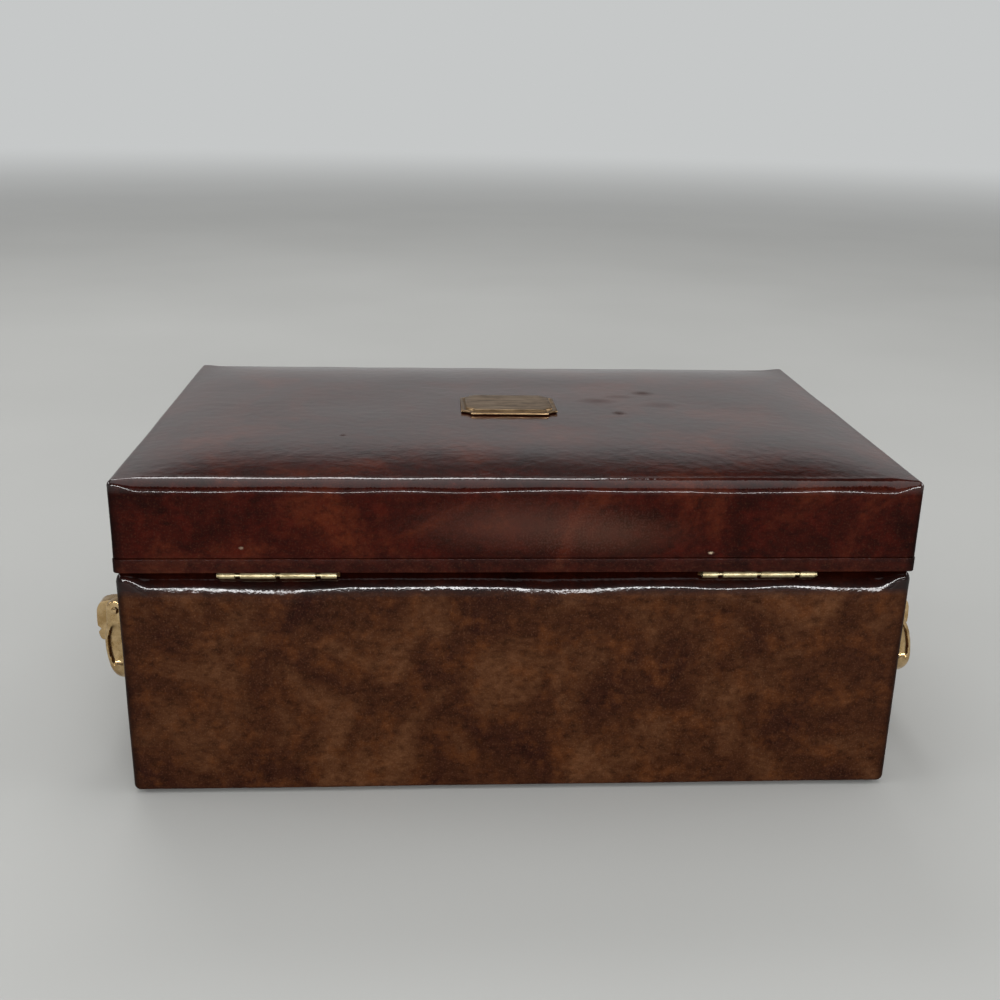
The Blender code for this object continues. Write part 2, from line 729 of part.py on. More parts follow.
def bail_pin():
    """A pin along +Z through a post and its arm, from the post's middle, with a domed head at its top."""
    shoulder = POST_WIDTH / 2 + GAP + ARM_THICKNESS + GAP
    tail = -POST_WIDTH / 2 - GAP
    dome = arc((0, shoulder), (BAIL_PIN_HEAD_RADIUS, BAIL_PIN_HEAD), 90, 0, ARC_STEPS - 2)
    profile = [(max(point.x, 0), point.y) for point in dome]
    profile[0] = (0, shoulder + BAIL_PIN_HEAD)
    profile += [(BAIL_PIN_RADIUS, shoulder), (BAIL_PIN_RADIUS, tail), (0, tail)]
    return turned("bail_pin", profile, SMALL_ROUND_SIDES)


def arm_share(down):
    """How far out the arm's middle stands and how wide it is, at a share of the drop, from ARM_SHARES."""
    for (start, *before), (end, *after) in zip(ARM_SHARES, ARM_SHARES[1:]):
        if down <= end:
            share = max(down - start, 0) / (end - start)
            return [low + (high - low) * share for low, high in zip(before, after)]
    return list(ARM_SHARES[-1][1:])


def bail_half():
    """Stations from the eye to the middle of the grip: centre, lean, half width, half thickness, power."""
    stations = []
    straight = BAIL_DROP - BAIL_CORNER
    eye = arm_share(0)[1] * ARM_HALF_WIDTH
    for step in range(EYE_STEPS):
        angle = math.radians(75 - 75 * step / EYE_STEPS)
        centre = Vector((0, ARM_Y, eye * math.sin(angle)))
        stations.append((centre, 0, eye * math.cos(angle), ARM_THICKNESS / 2, FLAT_SECTION_POWER))
    for step in range(ARM_STEPS + 1):
        height = -straight * step / ARM_STEPS
        out, width = arm_share(-height / BAIL_DROP)
        centre = Vector((out * BAIL_CURL, ARM_Y, height))
        stations.append((centre, 0, width * ARM_HALF_WIDTH, ARM_THICKNESS / 2, FLAT_SECTION_POWER))
    for step in range(1, BAIL_CORNER_STEPS + 1):
        share = step / BAIL_CORNER_STEPS
        lean = math.radians(90 * share)
        across = ARM_Y - BAIL_CORNER + BAIL_CORNER * math.cos(lean)
        height = -straight - BAIL_CORNER * math.sin(lean)
        out, width = arm_share(-height / BAIL_DROP)
        centre = Vector((out * BAIL_CURL, across, height))
        thick = ARM_THICKNESS / 2 + (GRIP_RADIUS - ARM_THICKNESS / 2) * share
        power = FLAT_SECTION_POWER + (ROUND_SECTION_POWER - FLAT_SECTION_POWER) * share
        stations.append((centre, lean, width * ARM_HALF_WIDTH, thick, power))
    run = ARM_Y - BAIL_CORNER
    for step in range(1, GRIP_STEPS + 1):
        share = step / GRIP_STEPS
        radius = GRIP_RADIUS + GRIP_SWELL * math.sin(math.radians(90 * share))
        centre = Vector((-BAIL_CURL, run * (1 - share), -BAIL_DROP))
        stations.append((centre, math.radians(90), radius, radius, ROUND_SECTION_POWER))
    return stations


def bail_section(station, mirror):
    """Points round one station. The lean turns the section from the arm's plane to the grip's."""
    centre, lean, width, thick, power = station
    across = Vector((0, math.cos(lean), -math.sin(lean)))
    points = []
    for step in range(BAIL_SIDES):
        angle = math.radians(360 * step / BAIL_SIDES)
        wide = math.copysign(abs(math.cos(angle)) ** (2 / power), math.cos(angle)) * width
        deep = math.copysign(abs(math.sin(angle)) ** (2 / power), math.sin(angle)) * thick
        point = centre + Vector((wide, 0, 0)) + across * deep
        points.append(Vector((point.x, point.y * mirror, point.z)))
    return points


def bail():
    """A cast bail about its pivot, +X outwards: two flat arms with a dished recess, and a swelling grip."""
    half = bail_half()
    rows = [bail_section(station, 1) for station in half]
    rows += [bail_section(station, -1) for station in reversed(half[:-1])]
    shape = bmesh.new()
    rings = [[shape.verts.new(point) for point in row] for row in rows]
    for low, high in zip(rings, rings[1:]):
        for index in range(BAIL_SIDES):
            following = (index + 1) % BAIL_SIDES
            shape.faces.new((low[index], low[following], high[following], high[index]))
    shape.faces.new(rings[0])
    shape.faces.new(rings[-1])
    solid = finished("bail", shape)
    dish = bmesh.new()
    layers = SMALL_ROUND_SIDES // 2
    bmesh.ops.create_uvsphere(dish, u_segments=SMALL_ROUND_SIDES, v_segments=layers, radius=1.0)
    bmesh.ops.scale(dish, vec=(RECESS_WIDTH / 2, RECESS_DEPTH, RECESS_LENGTH / 2), verts=dish.verts)
    dish = finished("recess", dish)
    bore = cylinder("eye_bore", BAIL_PIN_RADIUS + GAP, ARM_THICKNESS + 2 * OVERRUN, SMALL_ROUND_SIDES)
    steps = []
    for sign in (-1, 1):
        steps.append(("DIFFERENCE", bore, at(0, sign * ARM_Y, 0) @ along_y()))
        steps.append(("DIFFERENCE", dish, at(0, sign * ARM_OUTER_Y, -RECESS_DROP)))
    return combine("bail", solid, steps)


def make_handles(finishes):
    """A bail on two posts at each side, and what holds them."""
    brass = finishes["brass"]
    post = handle_post()
    screw = post_screw()
    pin = bail_pin()
    for side, end, sign, y in stud_places():
        turn = 0 if sign > 0 else 180
        post_piece = add_part(f"{side}_{end}_handle_post", post, brass)
        place(post_piece, (sign * PIVOT_X, y, PIVOT_HEIGHT), turn)
        screw_piece = add_part(f"{side}_{end}_post_screw", screw, brass)
        place(screw_piece, (sign * BOX_WIDTH / 2, y, PIVOT_HEIGHT - STEM_DROP), turn)
        outward = 1 if y > 0 else -1
        pin_piece = add_part(f"{side}_{end}_bail_pin", pin, brass)
        tilt = Matrix.Rotation(math.radians(-90 * outward), 4, "X")
        pin_piece.matrix_basis = at(sign * PIVOT_X, y, PIVOT_HEIGHT) @ tilt
    loop = bail()
    place(add_part("right_bail", loop, brass), (PIVOT_X, 0, PIVOT_HEIGHT), 0, RIGHT_BAIL_SWING)
    place(add_part("left_bail", loop, brass), (-PIVOT_X, 0, PIVOT_HEIGHT), 180, LEFT_BAIL_SWING)


def make_base(finishes):
    """The boards, leather, felt and lining of the base."""
    path = base_skin_path(RIM_ROUND_INSET, RIM_ROUND_DROP)
    side_path = base_skin_path(SIDE_RIM_INSET, SIDE_RIM_DROP)
    skin = path + list(reversed(offset(path, LEATHER)))
    side_skin = side_path + list(reversed(offset(side_path, LEATHER)))
    skin_steps = mortise_steps()
    for side in ("left", "right"):
        skin_steps += stud_holes(side, STUD_RADIUS + GAP, False)
    leather = combine("base_leather", loft("base_skin", skin, BASE_CORNER, False, side_skin), skin_steps)
    add_part("base_leather", leather, finishes["leather"])

    board_section = offset(path, LEATHER + GAP)
    board_side = offset(side_path, LEATHER + GAP)
    boards = loft("base_boards", board_section, BASE_CORNER, False, board_side)
    cuts = {
        "back": mortise_steps() + leaf_screw_holes(1),
        "left": stud_holes("left", STUD_RADIUS + GAP, True),
        "right": stud_holes("right", STUD_RADIUS + GAP, True),
    }
    mitred("base_{}_board", boards, finishes["wood"], cuts)

    inside = BASE_BOARD_INNER + GAP
    floor = [(inside, HEM_BOTTOM), (inside, FLOOR_TOP)]
    add_part("base_bottom_board", loft("base_bottom", floor, BASE_CORNER, True), finishes["wood"])
    felt = [(FELT_INSET, 0), (FELT_INSET, FELT)]
    add_part("base_felt", loft("base_felt", felt, BASE_CORNER, True), finishes["felt"])

    lining = rectangle(inside, inside + LINING, FLOOR_TOP + GAP, TURN_IN_END - GAP)
    mitred("base_{}_lining", loft("base_lining", lining, BASE_CORNER), finishes["suede"], {})
    pad_inset = inside + LINING + GAP
    pad_bottom = FLOOR_TOP + GAP
    pad_top = pad_bottom + FLOOR_LINING
    pad = [
        (pad_inset, pad_bottom), (pad_inset, pad_top - LINING_EDGE_ROUND),
        (pad_inset + LINING_EDGE_ROUND, pad_top),
    ]
    add_part("base_floor_lining", loft("floor_lining", pad, BASE_CORNER, True), finishes["suede"])


def make_lid(finishes, lid):
    """The boards, padding, leather, edge band and lining of the lid."""
    skins, paddings = [], []
    for edge_round in (LID_EDGE_ROUND, LID_SIDE_ROUND):
        path = lid_skin_path(edge_round)
        skins.append(list(reversed(path)) + offset(path, LEATHER))
        padding = offset(path, LEATHER + GAP)[1:]
        padding[0] = Vector((padding[0].x, PADDING_BOTTOM))
        paddings.append(padding)
    skin = loft("lid_skin", skins[0], LID_CORNER, True, skins[1], LID_CROWN_CORNER_SHARE)
    add_part("lid_leather", skin, finishes["leather"], lid)
    padding = loft("lid_padding", paddings[0], LID_CORNER, True, paddings[1], LID_CROWN_CORNER_SHARE)
    add_part("lid_padding", padding, finishes["wadding"], lid)

    outer = BASE_BOARD_OUTER
    top_board = [(outer, TOP_BOARD_BOTTOM), (outer, TOP_BOARD_TOP)]
    add_part("lid_top_board", loft("lid_top", top_board, LID_CORNER, True), finishes["wood"], lid)

    walls = rectangle(outer, LID_BOARD_INNER, LID_BOARD_BOTTOM, LID_LINING_TOP)
    cuts = {"back": leaf_screw_holes(-1)}
    mitred("lid_{}_board", loft("lid_boards", walls, LID_CORNER), finishes["wood"], cuts, lid)

    band = loft("lid_band", band_section(), LID_CORNER)
    ring = combine("lid_band", band, leaf_screw_holes(-1))
    add_part("lid_edge_band", ring, finishes["band"], lid)

    inside = LID_BOARD_INNER + GAP
    lining = rectangle(inside, inside + LINING, LID_BOTTOM + BAND_TURN_IN + GAP, LID_LINING_TOP)
    mitred("lid_{}_lining", loft("lid_lining", lining, LID_CORNER), finishes["suede"], {}, lid)
    pad_inset = inside + LINING + GAP
    pad = [
        (pad_inset + LINING_EDGE_ROUND, LID_LINING_TOP - LINING),
        (pad_inset, LID_LINING_TOP - LINING + LINING_EDGE_ROUND), (pad_inset, LID_LINING_TOP),
    ]
    add_part("lid_top_lining", loft("top_lining", pad, LID_CORNER, True), finishes["suede"], lid)


def make_plate(finishes, lid):
    """The blank plate: a rectangle with a round bite out of each corner and softened edges."""
    outline = []
    for turn, (side_x, side_y) in enumerate(((1, 1), (-1, 1), (-1, -1), (1, -1))):
        corner = (side_x * PLATE_WIDTH / 2, side_y * PLATE_DEPTH / 2)
        start = 270 + 90 * turn
        outline += arc(corner, (PLATE_NOTCH, PLATE_NOTCH), start, start - 90, ARC_STEPS - 1)
    plate = outlined("plate", [(point.x, point.y) for point in outline], PLATE_THICKNESS, PLATE_BEVEL, False)
    plate.transform(Matrix.Rotation(math.radians(-90), 4, "X"))
    plate.transform(at(0, 0, LID_TOP + GAP + PLATE_THICKNESS / 2))
    add_part("lid_plate", plate, finishes["plate_brass"], lid)


def main():
    """Builds the whole box."""
    for obj in list(bpy.data.objects):
        bpy.data.objects.remove(obj)
    for name in ("dresser_box", "cutters"):
        collection = bpy.data.collections.new(name)
        bpy.context.scene.collection.children.link(collection)
    finishes = make_materials()
    lid = bpy.data.objects.new("lid_axis", None)
    lid.location = HINGE_AXIS
    bpy.data.collections["dresser_box"].objects.link(lid)
    make_base(finishes)
    make_lid(finishes, lid)
    make_plate(finishes, lid)
    make_hinges(finishes, lid)
    make_handles(finishes)


main()
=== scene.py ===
"""Looks of a leather covered dresser box: its skins, padding, lining and brass, and the floor and light.

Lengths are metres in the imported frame: +Z up, the hinges at the back, +Y, and left and right as seen from
the front. The camera looks at the back. Colours are sRGB hex, and every pattern's size is a real length.
"""

import logging
import math
from dataclasses import dataclass
from enum import Enum
from typing import Any, Optional, Sequence

import bmesh
import bpy
import numpy as np
from mathutils import Matrix, Vector, noise


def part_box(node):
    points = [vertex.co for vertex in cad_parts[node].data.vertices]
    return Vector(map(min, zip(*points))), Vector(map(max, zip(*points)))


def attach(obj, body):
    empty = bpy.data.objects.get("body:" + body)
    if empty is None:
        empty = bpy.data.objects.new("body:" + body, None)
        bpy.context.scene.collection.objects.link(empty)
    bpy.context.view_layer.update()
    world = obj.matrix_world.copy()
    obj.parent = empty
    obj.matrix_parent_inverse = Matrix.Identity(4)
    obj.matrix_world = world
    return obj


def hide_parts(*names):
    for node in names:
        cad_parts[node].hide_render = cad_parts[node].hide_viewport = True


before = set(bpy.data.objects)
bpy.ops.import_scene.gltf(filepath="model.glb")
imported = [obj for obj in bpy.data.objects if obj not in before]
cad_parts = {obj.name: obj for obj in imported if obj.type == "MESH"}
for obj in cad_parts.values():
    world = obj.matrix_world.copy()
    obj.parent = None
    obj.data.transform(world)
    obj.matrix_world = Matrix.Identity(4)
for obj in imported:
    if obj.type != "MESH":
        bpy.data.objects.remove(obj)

LOG = logging.getLogger("dresser_box")


class Body(Enum):
    """The bodies that the pieces ride on."""

    BASE = "base"
    LID = "lid"
    LEFT_BAIL = "left_bail"
    RIGHT_BAIL = "right_bail"


class Slot(Enum):
    """The record's material slots."""

    LEATHER = "glazed_leather"
    BAND = "band_leather"
    WOOD = "carcass_wood"
    FELT = "felt"
    SUEDE = "suede_lining"
    WADDING = "wadding"
    BRASS = "polished_brass"
    HINGE_BRASS = "tarnished_brass"
    PLATE_BRASS = "bronzed_brass"


@dataclass(frozen=True)
class BoxSizes:
    """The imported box's own lengths, which every piece here is built on."""

    width: float = 0.302
    depth: float = 0.1936
    leather: float = 0.0013
    hem_bottom: float = 0.0011
    hem_round: float = 0.0025
    board_inner: float = 0.0111
    base_top: float = 0.0939
    base_corner: float = 0.003
    rim_inset: float = 0.009
    rim_drop: float = 0.0101
    rim_inner_drop: float = 0.0042
    rim_thickness: float = 0.0127
    turn_in_end: float = 0.0852
    side_rim_inset: float = 0.003
    side_rim_drop: float = 0.0044
    side_fade: float = 0.010
    lid_corner: float = 0.002
    lid_edge_round: float = 0.0055
    lid_side_round: float = 0.0024
    lid_edge_top: float = 0.1301
    lid_top_height: float = 0.1332
    lid_crown: float = 0.0031
    lid_crown_run: float = 0.050
    crown_corner_share: float = 0.8
    skin_bottom: float = 0.1001
    padding_bottom: float = 0.1246
    sharp: float = 0.0004
    hinge_x: float = 0.091
    hinge_y: float = 0.0952
    hinge_z: float = 0.09265
    hinge_length: float = 0.0435
    barrel: float = 0.0014
    leaf_width: float = 0.009
    pivot_x: float = 0.1635
    pivot_z: float = 0.0603
    post_y: float = 0.0464
    stem_drop: float = 0.0017
    gap: float = 0.0003


SIZES = BoxSizes()


# Colours, nodes and finishes


def linear(colour: str, alpha: float = 1.0) -> tuple[float, float, float, float]:
    """Turns an sRGB hex colour into the linear one that shaders use.

    Args:
        colour: Six hex digits after a #.
        alpha: The fourth value.

    Returns:
        Red, green, blue and alpha.
    """
    parts = [int(colour[start:start + 2], 16) / 255 for start in (1, 3, 5)]
    red, green, blue = (part / 12.92 if part <= 0.04045 else ((part + 0.055) / 1.055) ** 2.4 for part in parts)
    return red, green, blue, alpha


def add_node(
    tree: bpy.types.NodeTree,
    kind: str,
    settings: Optional[dict[Any, Any]] = None,
    links: Optional[dict[Any, bpy.types.NodeSocket]] = None,
) -> bpy.types.Node:
    """Adds one node of any kind.

    Args:
        tree: The node tree.
        kind: The node's type name.
        settings: Its plain settings and its sockets' values by name or number. "stops" are a ramp's
            places and colours.
        links: The output that each of its sockets takes, by the socket's name or number.

    Returns:
        The node.
    """
    made = tree.nodes.new(kind)
    for key, value in (settings or {}).items():
        if key == "stops":
            elements = made.color_ramp.elements
            while len(elements) < len(value):
                elements.new(1.0)
            for element, (place, colour) in zip(elements, value):
                element.position = place
                element.color = linear(colour)
        elif isinstance(key, int) or key in made.inputs:
            made.inputs[key].default_value = value
        else:
            setattr(made, key, value)
    for key, output in (links or {}).items():
        tree.links.new(output, made.inputs[key])
    return made


def new_finish(name: str) -> tuple[bpy.types.Material, bpy.types.NodeTree, bpy.types.Node, bpy.types.NodeSocket]:
    """Starts a material.

    Args:
        name: The real material's name.

    Returns:
        The material, its nodes, its shader and the coordinates that move with the piece.
    """
    finish = bpy.data.materials.new(name)
    finish.use_nodes = True
    tree = finish.node_tree
    tree.nodes.clear()
    shader = add_node(tree, "ShaderNodeBsdfPrincipled")
    add_node(tree, "ShaderNodeOutputMaterial", links={"Surface": shader.outputs["BSDF"]})
    place = add_node(tree, "ShaderNodeTexCoord").outputs["Object"]
    return finish, tree, shader, place


@dataclass(frozen=True)
class Mark:
    """A worn or scuffed place on leather, or a patch of painted reflection: its middle, half sizes, how strongly it
    shows and its colour.
    """

    middle: tuple[float, float, float]
    reach: tuple[float, float, float]
    strength: float
    colour: str = "#3c1a12"


@dataclass(frozen=True)
class GlazedLeather:
    """Old glazed leather: cloudy dark browns under a hard clear glaze that gives thin sharp highlights."""

    name: str
    dark: str
    middle: str
    light: str
    patch: str
    fleck: str = "#8a6248"
    # Tint of the painted shade on the rim under the lid
    rim_shade_tint: str = "#7d4b40"
    # Tint of the painted shade along the upright corners
    corner_shade_tint: str = "#6f625c"
    cloud: float = 0.034
    patch_size: float = 0.012
    mottle: float = 0.0032
    grain: float = 0.0007
    peel: float = 0.0042
    glaze_roughness: float = 0.09
    rolls_from: float = 1.0
    rolls_over: float = 0.005
    # How strongly the painted shade on the rim shows
    rim_shade_depth: float = 1.0
    wall_glaze: float = 0.045
    roll_glaze: float = 0.36
    fleck_share: float = 0.15
    marks: tuple[Mark, ...] = ()

    def build(self) -> bpy.types.Material:
        """Makes the material."""
        finish, tree, shader, place = new_finish(self.name)
        clouds = add_node(
            tree, "ShaderNodeTexNoise",
            {"Scale": 1 / self.cloud, "Detail": 6.0, "Roughness": 0.62, "Distortion": 0.6}, {"Vector": place},
        )
        stops = [(0.32, self.dark), (0.5, self.middle), (0.68, self.light)]
        ground = add_node(tree, "ShaderNodeValToRGB", {"stops": stops}, {"Fac": clouds.outputs["Fac"]})
        # Redder islands where the dye took differently
        islands = add_node(
            tree, "ShaderNodeTexNoise", {"Scale": 1 / self.patch_size, "Detail": 4.0, "Roughness": 0.65},
            {"Vector": place},
        )
        island_share = add_node(
            tree, "ShaderNodeMapRange",
            {"From Min": 0.5, "From Max": 0.68, "To Max": 0.7}, {"Value": islands.outputs["Fac"]},
        )
        colour = add_node(
            tree, "ShaderNodeMix", {"data_type": "RGBA", 7: linear(self.patch)},
            {0: island_share.outputs["Result"], 6: ground.outputs["Color"]},
        ).outputs[2]
        # Mottling of a few millimetres, drawn out along the box
        drawn_out = add_node(tree, "ShaderNodeMapping", {"Scale": (0.8, 0.8, 1.15)}, {"Vector": place})
        mottling = add_node(
            tree, "ShaderNodeTexNoise", {"Scale": 1 / self.mottle, "Detail": 5.0, "Roughness": 0.7},
            {"Vector": drawn_out.outputs["Vector"]},
        )
        shade = add_node(
            tree, "ShaderNodeValToRGB", {"stops": [(0.32, "#96887c"), (0.5, "#dbd2ca"), (0.68, "#ffffff")]},
            {"Fac": mottling.outputs["Fac"]},
        )
        colour = add_node(
            tree, "ShaderNodeMix", {"data_type": "RGBA", "blend_type": "MULTIPLY", 0: 0.85},
            {6: colour, 7: shade.outputs["Color"]},
        ).outputs[2]
        # Tiny pale flecks where the glaze has crazed
        specks = add_node(
            tree, "ShaderNodeTexNoise", {"Scale": 1 / self.grain, "Detail": 2.0}, {"Vector": place},
        )
        speck_share = add_node(
            tree, "ShaderNodeMapRange", {"From Min": 0.54, "From Max": 0.78, "To Max": self.fleck_share},
            {"Value": specks.outputs["Fac"]},
        )
        colour = add_node(
            tree, "ShaderNodeMix", {"data_type": "RGBA", 7: linear(self.fleck)},
            {0: speck_share.outputs["Result"], 6: colour},
        ).outputs[2]
        # The glaze is thick and polished by hands on the rolls and the top, and thin on the walls
        parts = add_node(tree, "ShaderNodeSeparateXYZ", links={"Vector": place}).outputs
        roll = {"From Min": self.rolls_from - self.rolls_over, "From Max": self.rolls_from}
        glaze = add_node(
            tree, "ShaderNodeMapRange", {**roll, "To Min": self.wall_glaze, "To Max": self.roll_glaze},
            {"Value": parts["Z"]},
        ).outputs["Result"]
        # Painted shade: the leather is darker and redder from the rolls up, where the lid shades the base's rim
        rim_shade_share = add_node(
            tree, "ShaderNodeMapRange", {**roll, "To Max": self.rim_shade_depth}, {"Value": parts["Z"]},
        )
        colour = self.tinted(tree, colour, rim_shade_share.outputs["Result"], self.rim_shade_tint)
        # Painted shade: the colour is darkened along the upright corners
        near = []
        for axis, reach in (("X", SIZES.width / 2), ("Y", SIZES.depth / 2)):
            away = add_node(tree, "ShaderNodeMath", {"operation": "ABSOLUTE"}, {0: parts[axis]})
            near.append(add_node(
                tree, "ShaderNodeMapRange", {"From Min": reach - 0.0042, "From Max": reach - 0.0004},
                {"Value": away.outputs[0]},
            ).outputs["Result"])
        corner = add_node(tree, "ShaderNodeMath", {"operation": "MULTIPLY"}, {0: near[0], 1: near[1]})
        colour = self.tinted(tree, colour, corner.outputs[0], self.corner_shade_tint)
        # Scuffs and chips, and patches of painted reflection, each thinning the glaze
        for mark in self.marks:
            share = self.scuff_and_reflection_share(tree, place, mark)
            colour = add_node(
                tree, "ShaderNodeMix", {"data_type": "RGBA", 7: linear(mark.colour)}, {0: share, 6: colour},
            ).outputs[2]
            kept = add_node(tree, "ShaderNodeMath", {"operation": "SUBTRACT", 0: 1.0}, {1: share}).outputs[0]
            glaze = add_node(tree, "ShaderNodeMath", {"operation": "MULTIPLY"}, {0: glaze, 1: kept}).outputs[0]
        tree.links.new(colour, shader.inputs["Base Color"])
        tree.links.new(glaze, shader.inputs["Coat Weight"])

        peel = add_node(
            tree, "ShaderNodeTexNoise", {"Scale": 1 / self.peel, "Detail": 2.0, "Roughness": 0.5},
            {"Vector": place},
        )
        waves = add_node(
            tree, "ShaderNodeBump", {"Strength": 0.45, "Distance": 0.00022}, {"Height": peel.outputs["Fac"]},
        )
        pebbles = add_node(
            tree, "ShaderNodeTexVoronoi", {"feature": "SMOOTH_F1", "Scale": 1 / self.grain, "Smoothness": 0.6},
            {"Vector": place},
        )
        bump = add_node(
            tree, "ShaderNodeBump", {"Strength": 0.16, "Distance": 0.00012},
            {"Height": pebbles.outputs["Distance"], "Normal": waves.outputs["Normal"]},
        )
        tree.links.new(bump.outputs["Normal"], shader.inputs["Normal"])
        tree.links.new(bump.outputs["Normal"], shader.inputs["Coat Normal"])
        wear = add_node(
            tree, "ShaderNodeMapRange", {"From Min": 0.3, "From Max": 0.7, "To Min": 0.34, "To Max": 0.56},
            {"Value": clouds.outputs["Fac"]},
        )
        tree.links.new(wear.outputs["Result"], shader.inputs["Roughness"])
        shader.inputs["Coat Roughness"].default_value = self.glaze_roughness
        shader.inputs["Coat IOR"].default_value = 1.7
        shader.inputs["Specular IOR Level"].default_value = 0.02
        return finish

    def tinted(
        self, tree: bpy.types.NodeTree, colour: bpy.types.NodeSocket, share: bpy.types.NodeSocket, tint: str,
    ) -> bpy.types.NodeSocket:
        """Multiplies a colour by a tint, by a share that differs from place to place."""
        return add_node(
            tree, "ShaderNodeMix", {"data_type": "RGBA", "blend_type": "MULTIPLY", 7: linear(tint)},
            {0: share, 6: colour},
        ).outputs[2]

    def scuff_and_reflection_share(
        self, tree: bpy.types.NodeTree, place: bpy.types.NodeSocket, mark: Mark,
    ) -> bpy.types.NodeSocket:
        """How strongly one ragged mark shows at each point: a scuff, or a patch of painted reflection.

        Args:
            tree: The material's nodes.
            place: The coordinates.
            mark: Where it is and how large.

        Returns:
            A share from 0 to the mark's strength.
        """
        scale = tuple(1 / reach for reach in mark.reach)
        moved = tuple(-middle * factor for middle, factor in zip(mark.middle, scale))
        near = add_node(tree, "ShaderNodeMapping", {"Scale": scale, "Location": moved}, {"Vector": place})
        ragged = add_node(
            tree, "ShaderNodeTexNoise", {"Scale": 1 / self.grain, "Detail": 3.0}, {"Vector": place},
        )
        distance = add_node(
            tree, "ShaderNodeVectorMath", {"operation": "LENGTH"}, {0: near.outputs["Vector"]},
        )
        uneven = add_node(
            tree, "ShaderNodeMath", {"operation": "MULTIPLY_ADD", 1: 1.6},
            {0: ragged.outputs["Fac"], 2: distance.outputs["Value"]},
        )
        return add_node(
            tree, "ShaderNodeMapRange",
            {"From Min": 1.0, "From Max": 1.9, "To Min": mark.strength, "To Max": 0.0},
            {"Value": uneven.outputs["Value"]},
        ).outputs["Result"]


@dataclass(frozen=True)
class Brass:
    """Old brass: warm metal with duller tarnished clouds and fine handling scratches."""

    name: str
    bright: str
    dull: str
    roughness: float
    cloud: float = 0.006
    streak: tuple[float, float, float] = (1.0, 1.0, 1.0)

    def build(self) -> bpy.types.Material:
        """Makes the material."""
        finish, tree, shader, place = new_finish(self.name)
        drawn = add_node(tree, "ShaderNodeMapping", {"Scale": self.streak}, {"Vector": place})
        clouds = add_node(
            tree, "ShaderNodeTexNoise", {"Scale": 1 / self.cloud, "Detail": 5.0, "Roughness": 0.65},
            {"Vector": drawn.outputs["Vector"]},
        )
        stops = [(0.36, self.dull), (0.62, self.bright)]
        tarnish = add_node(tree, "ShaderNodeValToRGB", {"stops": stops}, {"Fac": clouds.outputs["Fac"]})
        tree.links.new(tarnish.outputs["Color"], shader.inputs["Base Color"])
        dulled = add_node(
            tree, "ShaderNodeMapRange",
            {"From Min": 0.35, "From Max": 0.65, "To Min": self.roughness + 0.14, "To Max": self.roughness},
            {"Value": clouds.outputs["Fac"]},
        )
        tree.links.new(dulled.outputs["Result"], shader.inputs["Roughness"])
        scratches = add_node(
            tree, "ShaderNodeTexNoise", {"Scale": 1 / 0.0007, "Detail": 3.0}, {"Vector": drawn.outputs["Vector"]},
        )
        bump = add_node(
            tree, "ShaderNodeBump", {"Strength": 0.05, "Distance": 0.00005},
            {"Height": scratches.outputs["Fac"]},
        )
        tree.links.new(bump.outputs["Normal"], shader.inputs["Normal"])
        shader.inputs["Metallic"].default_value = 1.0
        return finish


@dataclass(frozen=True)
class SawnWood:
    """Plain sawn box wood: straight brown grain with darker pores, seen only at the screw holes."""

    name: str
    early: str
    late: str
    ring: float = 0.0035

    def build(self) -> bpy.types.Material:
        """Makes the material."""
        finish, tree, shader, place = new_finish(self.name)
        grain = add_node(tree, "ShaderNodeMapping", {"Scale": (0.08, 0.08, 1.0)}, {"Vector": place})
        bands = add_node(
            tree, "ShaderNodeTexNoise", {"Scale": 1 / self.ring, "Detail": 4.0, "Distortion": 0.4},
            {"Vector": grain.outputs["Vector"]},
        )
        stops = [(0.4, self.late), (0.6, self.early)]
        rings = add_node(tree, "ShaderNodeValToRGB", {"stops": stops}, {"Fac": bands.outputs["Fac"]})
        bump = add_node(
            tree, "ShaderNodeBump", {"Strength": 0.3, "Distance": 0.0001}, {"Height": bands.outputs["Fac"]},
        )
        tree.links.new(rings.outputs["Color"], shader.inputs["Base Color"])
        tree.links.new(bump.outputs["Normal"], shader.inputs["Normal"])
        shader.inputs["Roughness"].default_value = 0.7
        return finish


@dataclass(frozen=True)
class NappedCloth:
    """Suede, felt or wadding: a soft nap with brushed lighter strokes and a pale sheen at grazing angles."""

    name: str
    deep: str
    brushed: str
    sheen: float
    nap: float = 0.0007
    stroke: float = 0.014

    def build(self) -> bpy.types.Material:
        """Makes the material."""
        finish, tree, shader, place = new_finish(self.name)
        strokes = add_node(
            tree, "ShaderNodeTexNoise", {"Scale": 1 / self.stroke, "Detail": 5.0, "Distortion": 1.0},
            {"Vector": place},
        )
        stops = [(0.35, self.deep), (0.66, self.brushed)]
        colour = add_node(tree, "ShaderNodeValToRGB", {"stops": stops}, {"Fac": strokes.outputs["Fac"]})
        fibres = add_node(tree, "ShaderNodeTexNoise", {"Scale": 1 / self.nap, "Detail": 4.0}, {"Vector": place})
        fibre_shade = add_node(
            tree, "ShaderNodeValToRGB", {"stops": [(0.35, "#a8a8a8"), (0.65, "#ffffff")]},
            {"Fac": fibres.outputs["Fac"]},
        )
        napped = add_node(
            tree, "ShaderNodeMix", {"data_type": "RGBA", "blend_type": "MULTIPLY", 0: 0.7},
            {6: colour.outputs["Color"], 7: fibre_shade.outputs["Color"]},
        )
        bump = add_node(
            tree, "ShaderNodeBump", {"Strength": 0.6, "Distance": 0.0003}, {"Height": fibres.outputs["Fac"]},
        )
        tree.links.new(napped.outputs[2], shader.inputs["Base Color"])
        tree.links.new(bump.outputs["Normal"], shader.inputs["Normal"])
        shader.inputs["Roughness"].default_value = 0.95
        shader.inputs["Sheen Weight"].default_value = self.sheen
        shader.inputs["Sheen Roughness"].default_value = 0.5
        return finish


